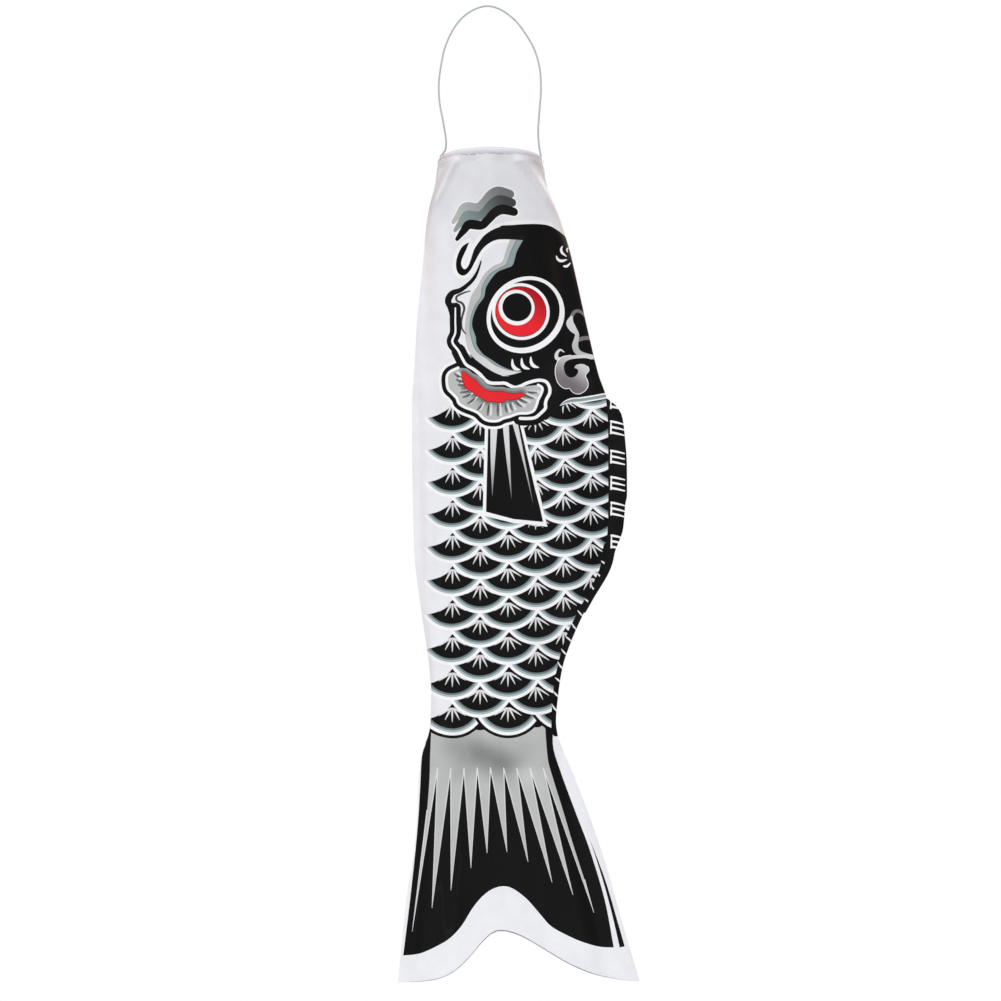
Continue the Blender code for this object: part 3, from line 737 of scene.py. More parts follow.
@dataclass
class ClothForm:
    """Where the cloth of the streamer hangs: its outline, its depth and its folds."""

    rows: tuple[tuple[float, float, float, float, float], ...] = (
        (0, -41.5, 47.5, 44.5, 0), (20.2, -43.5, 50.5, 39, 0.06), (40.5, -48.5, 58.5, 32, 0.25),
        (60.7, -51.5, 64.5, 26, 0.55), (81, -53, 70, 22, 0.75), (110.4, -56, 76.5, 19, 1),
        (145.4, -59, 84, 17, 1), (184, -61, 93, 16, 1), (206.8, -62.5, 100, 15.5, 1),
        (234.2, -62.5, 101.5, 15, 1),
        (295.7, -61.5, 101.5, 14, 1), (339, -60, 99.5, 13, 1), (375.5, -55.5, 84.5, 12, 1),
        (412, -50, 68.5, 11.5, 1), (430.5, -47.5, 62.5, 11, 1), (452.3, -46, 59, 10.5, 1),
        (475.8, -46.5, 57, 9.5, 1), (487.6, -48.5, 58.5, 9, 1), (496, -52, 61, 8.5, 1),
        (515.3, -55.5, 69.5, 8, 1),
        (555.8, -57.5, 85, 8, 1), (584.8, -60, 95, 8, 1), (615.7, -65, 104, 8.5, 1),
        (646.5, -68.5, 112.5, 9, 1),
        (689, -72.5, 125, 10, 1),
    )
    folds: tuple[Fold, ...] = (
        Fold((-27, 8), (-42, 36), 4, 5), Fold((-36, 8), (-45, 26), 4.5, -5),
        Fold((-40, 36), (-48, 66), 6, 1.6),
        Fold((28, 8), (50, 37), 4.2, 4.8), Fold((40, 6), (50, 24), 4.5, -4.8),
        Fold((50, 36), (62, 72), 6, 1.6),
        Fold((-14, 12), (-34, 52), 8, -1.6), Fold((14, 16), (36, 60), 9, -1.8),
        Fold((0, 14), (4, 48), 9, 1.5),
        Fold((-42, 60), (-36, 190), 6, 2.0), Fold((-30, 70), (-20, 110), 8, -1.2),
        Fold((-53, 90), (-49, 240), 5, -2.0),
        Fold((30, 40), (62, 150), 12, 1.6), Fold((60, 90), (74, 200), 7, -1.6),
        Fold((10, 150), (30, 300), 16, 1.2),
        Fold((-50, 215), (-47, 320), 5.5, 2.4), Fold((-57, 225), (-55, 330), 4.5, -2.2),
        Fold((-52, 330), (-45, 430), 6, 1.8), Fold((78, 190), (92, 330), 8, -1.8),
        Fold((62, 220), (72, 380), 9, 1.4),
        Fold((20, 300), (-10, 420), 14, -1.4), Fold((-20, 400), (-30, 484), 9, 1.4),
        Fold((30, 400), (24, 480), 9, 1.3),
        Fold((-14, 498), (26, 512), 8, -1.6), Fold((-34, 492), (-8, 530), 7, 1.4),
        Fold((-40, 505), (-52, 660), 7, 1.8), Fold((-18, 510), (-26, 640), 8, -1.8),
        Fold((6, 515), (8, 610), 7, 1.4),
        Fold((26, 510), (48, 650), 9, -1.8), Fold((48, 520), (82, 670), 8, 1.8),
        Fold((62, 520), (100, 680), 7, -1.5),
    )
    fork_rise: float = 42.0
    fork_peak: float = -0.124
    fork_reaches: tuple[float, float] = (0.33, 0.56)
    hem_end: float = 4.0
    notch_depth: float = 10.5
    lines: dict[str, Line] = field(init=False)

    def __post_init__(self) -> None:
        """Set up the smooth lines through the rows."""
        names = ("belly", "back", "depth", "lens")
        self.lines = {
            name: Line([(row[0], row[i + 1]) for row in self.rows]) for i, name in enumerate(names)
        }

    def middle(self, down: Points) -> tuple[Points, Points]:
        """The middle and half the width of the cloth at each place down."""
        belly = self.lines["belly"].at(down)
        back = self.lines["back"].at(down)
        return (belly + back) / 2, (back - belly) / 2

    def share(self, across: Points, down: Points) -> Points:
        """How far round one side each place lies, from 0 at the belly to 1 at the back."""
        centre, half = self.middle(down)
        return np.arccos(np.clip((centre - across) / half, -1, 1)) / math.pi

    def across(self, share: Points, down: Points) -> Points:
        """The place across for each share of one side."""
        centre, half = self.middle(down)
        return centre - half * np.cos(math.pi * share)

    def bottom(self, share: Points) -> Points:
        """How far down the forked cut edge is."""
        away = -np.cos(math.pi * share) - self.fork_peak
        reach = np.where(away < 0, *self.fork_reaches)
        return TIP - self.fork_rise * np.exp(-((away / reach) ** 2))

    def top(self, share: Points) -> Points:
        """How far down each side's cloth starts: under the hem, and lower at the cord's two notches."""
        nearest = np.minimum(share, 1 - share) * math.pi * HOOP_RADIUS
        t = np.clip((nearest - 3.6) / 3.0, 0, 1)
        return self.notch_depth + (self.hem_end - self.notch_depth) * t * t * (3 - 2 * t)

    def depth(self, share: Points, down: Points) -> Points:
        """How far the cloth stands from the middle plane."""
        edge = np.sin(math.pi * np.clip(share, 0, 1))
        lens = self.lines["lens"].at(down)
        plain = self.lines["depth"].at(down) * edge ** (1 + 0.6 * lens)
        plain = plain + 0.9 * edge * np.exp(-((down / 9) ** 2))
        across = self.across(share, down)
        lift = sum(fold.lift(across, down) for fold in self.folds)
        calm = np.clip((down - 4) / 8, 0, 1)
        return plain + lift * np.minimum(1, edge * 2.6) * calm * calm * (3 - 2 * calm)

    def points(self, share: Points, down: Points, side: int, inset: Points | float = 0.0) -> Points:
        """Places in space, in millimetres.

        Args:
            share: how far round the side each place lies.
            down: how far below the rim.
            side: -1 for the near side, 1 for the far side.
            inset: how far inside the cloth's face.

        Returns:
            One row of x, y and z for each place.
        """
        centre, half = self.middle(down)
        depth = np.maximum(self.depth(share, down) - inset, 0)
        x = centre - (half - inset) * np.cos(math.pi * share)
        return np.stack([x, side * depth, -(RIM_DROP + down)], 1)

    def normals(self, share: Points, down: Points, side: int) -> Points:
        """The way the cloth faces at each place.

        Args:
            share: how far round the side each place lies.
            down: how far below the rim.
            side: -1 for the near side, 1 for the far side.

        Returns:
            One unit vector for each place, pointing outwards.
        """
        share = np.clip(share, 0.012, 0.988)
        turned = self.points(share + 0.004, down, side) - self.points(share - 0.004, down, side)
        lowered = self.points(share, down + 0.5, side) - self.points(share, down - 0.5, side)
        found = np.cross(lowered, turned) * side
        return found / np.linalg.norm(found, axis=1)[:, None]


# ------------------------------------------------------------------------------ making meshes


def add_mesh(name: str, points: Points, faces: Sequence[Sequence[int]], finish: bpy.types.Material,
             shaded: bool = True) -> bpy.types.Object:
    """A new mesh piece.

    Args:
        name: the piece's name.
        points: its vertices, in millimetres.
        faces: each face's vertices.
        finish: its material.
        shaded: whether it is shaded smooth.

    Returns:
        The piece, in the scene.
    """
    mesh = bpy.data.meshes.new(name)
    mesh.from_pydata((np.asarray(points, float) * MM).tolist(), [],
                     [list(map(int, face)) for face in faces])
    mesh.validate()
    mesh.materials.append(finish)
    if shaded:
        mesh.shade_smooth()
    piece = bpy.data.objects.new(name, mesh)
    bpy.context.scene.collection.objects.link(piece)
    return piece


def add_place(piece: bpy.types.Object, places: Points) -> None:
    """Keep each vertex's place on the flat cloth, in metres, so that the weave stays with the cloth."""
    flat = np.zeros((len(places), 3), np.float32)
    flat[:, :2] = places * MM
    layer = piece.data.attributes.new("cloth_place", "FLOAT_VECTOR", "POINT")
    layer.data.foreach_set("vector", flat.ravel())


def grid_faces(rows: int, columns: int, closed: bool = False) -> list[tuple[int, int, int, int]]:
    """The faces of a grid of points.

    Args:
        rows: how many rows the grid has.
        columns: how many points a row has.
        closed: whether each row joins its own start.

    Returns:
        Each face's four points, counted along the rows.
    """
    found = []
    for r in range(rows - 1):
        for c in range(columns if closed else columns - 1):
            n = (c + 1) % columns
            found.append((r * columns + c, r * columns + n, (r + 1) * columns + n, (r + 1) * columns + c))
    return found


def tube(path: Points, radius: float | Points, sides: int = 6) -> tuple[Points, list[tuple[int, ...]]]:
    """A tube with closed ends along a path.

    Args:
        path: the points that it follows.
        radius: its radius, or one for each point.
        sides: how many sides it has.

    Returns:
        Its points and faces.
    """
    along = np.gradient(path, axis=0)
    along /= np.linalg.norm(along, axis=1)[:, None]
    guide = np.array([0.0, 0.0, 1.0]) if abs(along[:, 2]).max() < 0.9 else np.array([0.0, 1.0, 0.0])
    first = np.cross(along, guide)
    first /= np.linalg.norm(first, axis=1)[:, None]
    second = np.cross(along, first)
    turns = np.arange(sides) * 2 * math.pi / sides
    radii = np.broadcast_to(radius, len(path))[:, None]
    rings = [path + radii * (math.cos(t) * first + math.sin(t) * second) for t in turns]
    points = np.stack(rings, 1).reshape(-1, 3)
    faces = grid_faces(len(path), sides, True)
    faces += [tuple(range(sides))[::-1], tuple(range((len(path) - 1) * sides, len(path) * sides))]
    return points, faces


def joined(parts: Sequence[tuple[Points, Sequence[Sequence[int]]]]) -> tuple[Points, list[tuple[int, ...]]]:
    """Several sets of points and faces as one."""
    points, faces, start = [], [], 0
    for spots, sides in parts:
        points.append(spots)
        faces += [tuple(start + i for i in face) for face in sides]
        start += len(spots)
    return np.concatenate(points), faces


@dataclass
class PrintCut:
    """The flat cloth cut up along every printed line, so that each colour has a clean edge."""

    shapes: list[Shape]
    to_flat: Callable[[Points], Points]
    from_flat: Callable[[Points], Points]
    edges: list[Points]
    grid: Points
    keep: Callable[[Points], Points]
    ground: Ink = Ink.CLOTH
    points: Points = field(init=False)
    faces: Points = field(init=False)

    def seen(self) -> tuple[Points, list[tuple[int, int]]]:
        """The outlines' points and segments that no later shape covers."""
        lows = np.array([shape.ring.min(0) for shape in self.shapes])
        highs = np.array([shape.ring.max(0) for shape in self.shapes])
        points, segments, start = [], [], 0
        for i, shape in enumerate(self.shapes):
            ring = shape.ring
            middles = (ring + np.roll(ring, -1, axis=0)) / 2
            shown = np.ones(len(ring), bool)
            over = np.flatnonzero(((lows <= highs[i]) & (highs >= lows[i])).all(1))
            for j in over[over > i]:
                shown[shown] &= ~inside(middles[shown], self.shapes[j].ring)
            ends = np.flatnonzero(shown)
            used = np.unique(np.concatenate([ends, (ends + 1) % len(ring)])) if len(ends) else ends
            number = {int(k): start + n for n, k in enumerate(used)}
            segments += [(number[int(k)], number[int((k + 1) % len(ring))]) for k in ends]
            points.append(ring[used])
            start += len(used)
        return np.concatenate(points), segments

    def cut(self) -> None:
        """Cut the cloth into triangles along the outlines."""
        lines, segments = self.seen()
        flat = self.to_flat(lines)
        for edge in self.edges:
            start = len(flat)
            segments += [(start + i, start + i + 1) for i in range(len(edge) - 1)]
            flat = np.concatenate([flat, edge])
        taken = {tuple(cell) for cell in np.floor(flat / 1.5).astype(int).tolist()}
        free = [spot for spot in self.grid.tolist() if (int(spot[0] // 1.5),
                                                        int(spot[1] // 1.5)) not in taken]
        flat = np.concatenate([flat, np.array(free)])
        found = delaunay_2d_cdt([Vector(spot) for spot in flat.tolist()], segments, [], 0, 0.01, False)
        self.points = np.array([tuple(spot) for spot in found[0]])
        faces = np.array([face for face in found[2] if len(face) == 3])
        used, faces = np.unique(faces[self.keep(self.points[faces].mean(1))], return_inverse=True)
        self.points = self.points[used]
        self.faces = faces.reshape(-1, 3)

    def colours(self) -> Points:
        """The ink at each corner of each triangle."""
        places = self.from_flat(self.points)
        middles = places[self.faces].mean(1)
        top = np.full(len(self.faces), -1)
        for i, shape in enumerate(self.shapes):
            top[inside(middles, shape.ring)] = i
        found = np.tile(np.array(self.ground.value), (len(self.faces), 3, 1))
        for i in np.unique(top[top >= 0]):
            chosen = np.flatnonzero(top == i)
            corners = places[self.faces[chosen]].reshape(-1, 2)
            found[chosen] = self.shapes[i].colours(corners).reshape(-1, 3, 3)
        return found


def paint(piece: bpy.types.Object, colours: Points) -> None:
    """Give each corner of a piece's triangles its ink."""
    layer = piece.data.color_attributes.new("ink", "FLOAT_COLOR", "CORNER")
    values = np.ones((colours.reshape(-1, 3).shape[0], 4), np.float32)
    values[:, :3] = colours.reshape(-1, 3)
    layer.data.foreach_set("color", values.ravel())


# ------------------------------------------------------------------------------ finishes


class Recipe:
    """A material while its nodes are being joined up."""

    def __init__(self, name: str) -> None:
        """Start a material with the standard surface alone."""
        self.material = bpy.data.materials.new(name)
        self.material.use_nodes = True
        self.tree = self.material.node_tree
        self.surface = self.tree.nodes["Principled BSDF"]

    def node(self, kind: str, links: dict | None = None, values: dict | None = None,
             **settings: object) -> bpy.types.Node:
        """Add a node.

        Args:
            kind: the node's type.
            links: the sockets that feed its inputs, by input.
            values: its inputs' own values, by input.
            settings: its other settings.

        Returns:
            The node.
        """
        made = self.tree.nodes.new("ShaderNode" + kind)
        for key, value in settings.items():
            setattr(made, key, value)
        for key, value in (values or {}).items():
            made.inputs[key].default_value = value
        for key, source in (links or {}).items():
            self.tree.links.new(source, made.inputs[key])
        return made

    def noise(self, source: bpy.types.NodeSocket, scale: float,
              detail: float = 3.0) -> bpy.types.NodeSocket:
        """Even noise of that scale, from 0 to 1."""
        return self.node("TexNoise", {"Vector": source}, {"Scale": scale, "Detail": detail}).outputs["Fac"]

    def spread(self, source: bpy.types.NodeSocket, low: float, high: float,
               ends: tuple[float, float] = (0.3, 0.7),
               ) -> bpy.types.NodeSocket:
        """A value between ends turned to one from low to high."""
        values = {"From Min": ends[0], "From Max": ends[1], "To Min": low, "To Max": high}
        return self.node("MapRange", {"Value": source}, values).outputs["Result"]

    def stretched(self, source: bpy.types.NodeSocket,
                  scale: tuple[float, float, float]) -> bpy.types.NodeSocket:
        """Places drawn out along their axes."""
        return self.node("Mapping", {"Vector": source}, {"Scale": scale}).outputs["Vector"]

    def dim(self, colour: bpy.types.NodeSocket, share: bpy.types.NodeSocket) -> bpy.types.NodeSocket:
        """A colour made lighter or darker by a share that varies over the surface."""
        return self.node("VectorMath", {0: colour, "Scale": share}, operation="SCALE").outputs["Vector"]

    def blended(self, share: bpy.types.NodeSocket, first: tuple, second: tuple) -> bpy.types.NodeSocket:
        """A colour between two, by a share that varies over the surface."""
        ramp = self.node("ValToRGB", {"Fac": share})
        ramp.color_ramp.elements[0].color = (*first, 1)
        ramp.color_ramp.elements[1].color = (*second, 1)
        return ramp.outputs["Color"]

    def bump(self, height: bpy.types.NodeSocket, depth: float, below: bpy.types.NodeSocket | None = None,
             ) -> bpy.types.NodeSocket:
        """A bumped normal, with a depth in metres, on another bump where one is given."""
        links = {"Height": height} | ({"Normal": below} if below else {})
        return self.node("Bump", links, {"Distance": depth, "Strength": 1.0}).outputs["Normal"]

    def done(self, values: dict[str, float], links: dict[str, bpy.types.NodeSocket]) -> bpy.types.Material:
        """Set the surface's own values, join up the rest and give the material back."""
        for key, value in values.items():
            self.surface.inputs[key].default_value = value
        for key, source in links.items():
            self.tree.links.new(source, self.surface.inputs[key])
        return self.material


@dataclass(frozen=True)
class Satin:
    """Polyester satin: long floats that shine, over a fine weave, with small creases; the unprinted satin has
    painted shade, a darker lavender colour, in its crease hollows.
    """

    name: str = "satin_printed"
    printed: bool = True
    tone: tuple[float, float, float] = Ink.CLOTH.value
    # painted shade: the darker lavender colour painted into the crease hollows of unprinted satin
    painted_crease_shade: tuple[float, float, float] = linear(228, 226, 236)
    roughness: tuple[float, float] = (0.34, 0.46)

    def made(self) -> bpy.types.Material:
        """The material."""
        recipe = Recipe(self.name)
        place = recipe.node("Attribute", attribute_name="cloth_place").outputs["Vector"]
        floats = recipe.noise(recipe.stretched(place, (5200, 620, 1)), 1.0, 2.0)
        cross = recipe.noise(recipe.stretched(place, (900, 4200, 1)), 1.0, 1.0)
        crease = recipe.noise(recipe.stretched(place, (34, 16, 1)), 1.0, 4.0)
        weave = recipe.node("Math", {0: floats, 1: cross}, operation="MULTIPLY_ADD",
                            values={2: 0.0}).outputs[0]
        if self.printed:
            ink = recipe.node("Attribute", attribute_name="ink").outputs["Color"]
        else:
            # painted shade: the unprinted satin goes from its tone to the darker lavender shade where the
            # crease bumps are low
            ink = recipe.blended(crease, self.painted_crease_shade, self.tone)
        mottle = recipe.spread(recipe.noise(recipe.stretched(place, (60, 60, 1)), 1.0, 5.0), 0.955, 1.02)
        colour = recipe.dim(recipe.dim(ink, recipe.spread(weave, 0.93, 1.05, (0.1, 0.45))), mottle)
        fine = recipe.bump(weave, 0.00006)
        values = {"Sheen Weight": 0.02, "Sheen Roughness": 0.4, "Specular IOR Level": 0.22,
                  "Anisotropic": 0.35}
        rough = recipe.spread(floats, *self.roughness)
        return recipe.done(values, {
            "Base Color": colour, "Roughness": rough, "Normal": recipe.bump(crease, 0.0011, fine),
        })


@dataclass(frozen=True)
class Twist:
    """Twisted or braided cord and thread: slanting strands with soft gaps between them, the gaps painted
    darker as shade in the grooves.
    """

    name: str
    tone: tuple[float, float, float]
    # painted shade: the gap colour is the shade painted into the grooves between the strands
    gap: tuple[float, float, float]
    pitch: float
    depth: float = 0.00012

    def made(self) -> bpy.types.Material:
        """The material."""
        recipe = Recipe(self.name)
        place = recipe.node("TexCoord").outputs["Object"]
        values = {"Scale": 1.0 / self.pitch, "Distortion": 1.2, "Detail": 2.0}
        slant = recipe.stretched(place, (1.0, 0.7, 1.0))
        strands = recipe.node("TexWave", {"Vector": slant}, values,
                              bands_direction="DIAGONAL").outputs["Fac"]
        fuzz = recipe.noise(place, 2600.0, 4.0)
        # painted shade: the colour darkens to the gap colour in the grooves between the strands
        colour = recipe.dim(recipe.blended(strands, self.gap, self.tone), recipe.spread(fuzz, 0.9, 1.06))
        rough = recipe.spread(fuzz, 0.55, 0.75)
        normal = recipe.bump(fuzz, 0.00003, recipe.bump(strands, self.depth))
        return recipe.done({"Sheen Weight": 0.25, "Specular IOR Level": 0.35}, {
            "Base Color": colour, "Roughness": rough, "Normal": normal,
        })


@dataclass(frozen=True)
class SpringWire:
    """Drawn spring wire: bright metal with fine lines along it and dull spots."""

    name: str = "hoop_wire"

    def made(self) -> bpy.types.Material:
        """The material."""
        recipe = Recipe(self.name)
        place = recipe.node("TexCoord").outputs["Object"]
        lines = recipe.noise(recipe.stretched(place, (300, 300, 6000)), 1.0, 3.0)
        spots = recipe.noise(place, 400.0, 4.0)
        colour = recipe.blended(spots, linear(150, 152, 156), linear(196, 198, 202))
        return recipe.done({"Metallic": 1.0}, {
            "Base Color": colour, "Roughness": recipe.spread(lines, 0.24, 0.42),
            "Normal": recipe.bump(lines, 0.00002),
        })


@dataclass(frozen=True)
class SoftPlastic:
    """Milky soft plastic tube with faint drawing marks."""

    name: str = "sleeve_plastic"

    def made(self) -> bpy.types.Material:
        """The material."""
        recipe = Recipe(self.name)
        place = recipe.node("TexCoord").outputs["Object"]
        marks = recipe.noise(place, 900.0, 3.0)
        colour = recipe.blended(marks, linear(214, 216, 218), linear(236, 238, 240))
        return recipe.done({"Subsurface Weight": 0.1, "Specular IOR Level": 0.45}, {
            "Base Color": colour, "Roughness": recipe.spread(marks, 0.3, 0.45),
            "Normal": recipe.bump(marks, 0.00003),
        })


@dataclass(frozen=True)
class StudioPaint:
    """Pale matt paint of the studio floor, with a faint roller texture."""

    name: str = "studio_floor"

    def made(self) -> bpy.types.Material:
        """The material."""
        recipe = Recipe(self.name)
        place = recipe.node("TexCoord").outputs["Object"]
        stipple = recipe.noise(place, 40.0, 4.0)
        colour = recipe.blended(stipple, linear(234, 234, 236), linear(240, 240, 242))
        return recipe.done({"Specular IOR Level": 0.2}, {
            "Base Color": colour, "Roughness": recipe.spread(stipple, 0.75, 0.85),
        })


@dataclass
class Finishes:
    """Every finish of the streamer, made once."""

    printed: bpy.types.Material = field(init=False)
    plain: bpy.types.Material = field(init=False)
    inside: bpy.types.Material = field(init=False)
    cord: bpy.types.Material = field(init=False)
    thread: bpy.types.Material = field(init=False)
    wire: bpy.types.Material = field(init=False)
    sleeve: bpy.types.Material = field(init=False)

    def __post_init__(self) -> None:
        """Make the materials."""
        self.printed = Satin().made()
        # the plain and wrong-side satins have painted shade in their crease hollows; the wrong side's second
        # colour is that painted shade
        self.plain = Satin("satin_plain", False).made()
        self.inside = Satin("satin_wrong_side", False, linear(222, 222, 226), linear(200, 198, 208),
                            (0.5, 0.62)).made()
        # the second colour of the cord and of the thread is painted shade in their grooves
        self.cord = Twist("cord_twist", linear(214, 224, 216), linear(160, 176, 166), 0.0022).made()
        self.thread = Twist("sewing_thread", linear(250, 250, 250), linear(206, 206, 214), 0.0005,
                            0.00004).made()
        self.wire = SpringWire().made()
        self.sleeve = SoftPlastic().made()


# ------------------------------------------------------------------------------ the sub-assemblies


@dataclass
class Studio:
    """The camera, the soft light and the pale floor."""

    target: tuple[float, float, float] = (0.0112, 0.0, -0.4236)
    distance: float = 3.4
    tilt: float = -9.0
    lens: float = 147.05
    floor: float = -1.4
    ambient: float = 0.26
    sun_turn: tuple[float, float, float] = (math.radians(48), 0.0, math.radians(-12))
    sun_strength: float = 2.3

    def camera(self) -> None:
        """Set up the camera, a little below the streamer and straight in front of its near side."""
        data = bpy.data.cameras.new("camera")
        data.lens = self.lens
        data.sensor_width = 36
        data.clip_end = 50
        eye = bpy.data.objects.new("camera", data)
        bpy.context.scene.collection.objects.link(eye)
        tilt = math.radians(self.tilt)
        back = self.distance * math.cos(tilt)
        eye.location = (self.target[0], self.target[1] - back,
                        self.target[2] + self.distance * math.sin(tilt))
        eye.rotation_euler = (math.radians(90 - self.tilt), 0, 0)
        bpy.context.scene.camera = eye

    def lamp(self, name: str, place: tuple[float, float, float], size: float, power: float,
             colour: tuple[float, float, float]) -> None:
        """Add a soft square lamp that faces the streamer.

        Args:
            name: the lamp's name.
            place: where it stands, in metres.
            size: the length of its side, in metres.
            power: its power, in watts.
            colour: the colour of its light.
        """
        data = bpy.data.lights.new(name, "AREA")
        data.size = size
        data.energy = power
        data.color = colour
        lamp = bpy.data.objects.new(name, data)
        lamp.location = place
        lamp.rotation_euler = (Vector(self.target) - Vector(place)).to_track_quat("-Z", "Y").to_euler()
        bpy.context.scene.collection.objects.link(lamp)

    def light(self) -> None:
        """Set up the white room and the lamps."""
        scene = bpy.context.scene
        scene.view_settings.view_transform = "Standard"
        world = bpy.data.worlds.new("white_room")
        world.use_nodes = True
        tree = world.node_tree
        room = tree.nodes["Background"]
        room.inputs["Color"].default_value = (0.97, 0.975, 1.0, 1)
        room.inputs["Strength"].default_value = self.ambient
        seen = tree.nodes.new("ShaderNodeBackground")
        seen.inputs["Color"].default_value = (1, 1, 1, 1)
        mix = tree.nodes.new("ShaderNodeMixShader")
        tree.links.new(tree.nodes.new("ShaderNodeLightPath").outputs["Is Camera Ray"], mix.inputs["Fac"])
        tree.links.new(room.outputs[0], mix.inputs[1])
        tree.links.new(seen.outputs[0], mix.inputs[2])
        tree.links.new(mix.outputs[0], tree.nodes["World Output"].inputs["Surface"])
        scene.world = world
        self.sun()
        self.lamp("fill_lamp", (0.8, -2.4, -1.25), 1.2, 4, (0.97, 0.99, 1))
        self.lamp("left_warm_lamp", (-1.3, 0.35, 0.1), 0.3, 2.4, (1.0, 0.55, 0.42))
        self.lamp("right_warm_lamp", (1.3, 0.35, 0.1), 0.3, 2.4, (1.0, 0.55, 0.42))
        self.lamp("back_lamp", (1.2, 2.4, 0.4), 1.2, 26, (1, 1, 1))

    def sun(self) -> None:
        """Add the main light: soft, from high in front and a little to the left."""
        data = bpy.data.lights.new("key_sun", "SUN")
        data.energy = self.sun_strength
        data.angle = math.radians(14)
        sun = bpy.data.objects.new("key_sun", data)
        sun.rotation_euler = self.sun_turn
        bpy.context.scene.collection.objects.link(sun)

    def lay_floor(self) -> None:
        """Lay the floor, well below the streamer."""
        rim = disc(0, 0, 4000.0)[:: 12]
        rows = [(0.0, 0.0, self.floor / MM)] + [(x, y, self.floor / MM) for x, y in rim]
        count = len(rim)
        faces = [(0, 1 + i, 1 + (i + 1) % count) for i in range(count)]
        piece = add_mesh("studio_floor", np.array(rows), faces, StudioPaint().made(), False)


@dataclass
class HangingCord:
    """The loop of cord from the left of the mouth over the hook to the right."""

    diameter: float = 1.5
    route: tuple[tuple[float, float], ...] = (
        (-39.3, -132.3), (-39.3, -129.8), (-35.6, -125), (-34.8, -116), (-37.2, -100), (-40.4, -82),
        (-40.8, -64),
        (-37.6, -42.5), (-34.6, -32), (-29.4, -20.5), (-22, -10.2), (-11.5, -2.4), (0, 0.75), (11.5, -2.4),
        (22, -10.2), (28.4, -17.6), (34.6, -27), (40.4, -38.5), (44.4, -54), (45.4, -72),
        (44, -92), (43, -107),
        (43.6, -120), (45.3, -129.8), (45.3, -132.3),
    )

    def path(self) -> Points:
        """The cord's middle line, in millimetres."""
        line = smooth(self.route, 2.5)
        return np.stack([line[:, 0], np.zeros(len(line)), line[:, 1]], 1)

    def build(self, finish: bpy.types.Material) -> bpy.types.Object:
        """Make the cord, as a curve with a round section.

        Args:
            finish: its material.

        Returns:
            The cord.
        """
        path = self.path() * MM
        data = bpy.data.curves.new("hanging_cord_twist", "CURVE")
        data.dimensions = "3D"
        data.bevel_depth = self.diameter / 2 * MM
        data.bevel_resolution = 4
        data.use_fill_caps = True
        spline = data.splines.new("POLY")
        spline.points.add(len(path) - 1)
        spline.points.foreach_set("co", np.concatenate([path, np.ones((len(path), 1))], 1).ravel())
        spline.use_smooth = True
        data.materials.append(finish)
        piece = bpy.data.objects.new("hanging_cord_twist", data)
        bpy.context.scene.collection.objects.link(piece)
        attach(piece, "cord")
        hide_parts("hanging_cord")
        return piece


@dataclass(frozen=True)
class Stretch:
    """One stretch of the cloth, with the names of the bodies above and below it and where their joint lies
    down the cloth.
    """

    name: str
    start: float
    end: float
    upper: str
    lower: str
    bend: float
    replaces: tuple[str, ...]
    hangs_from: str


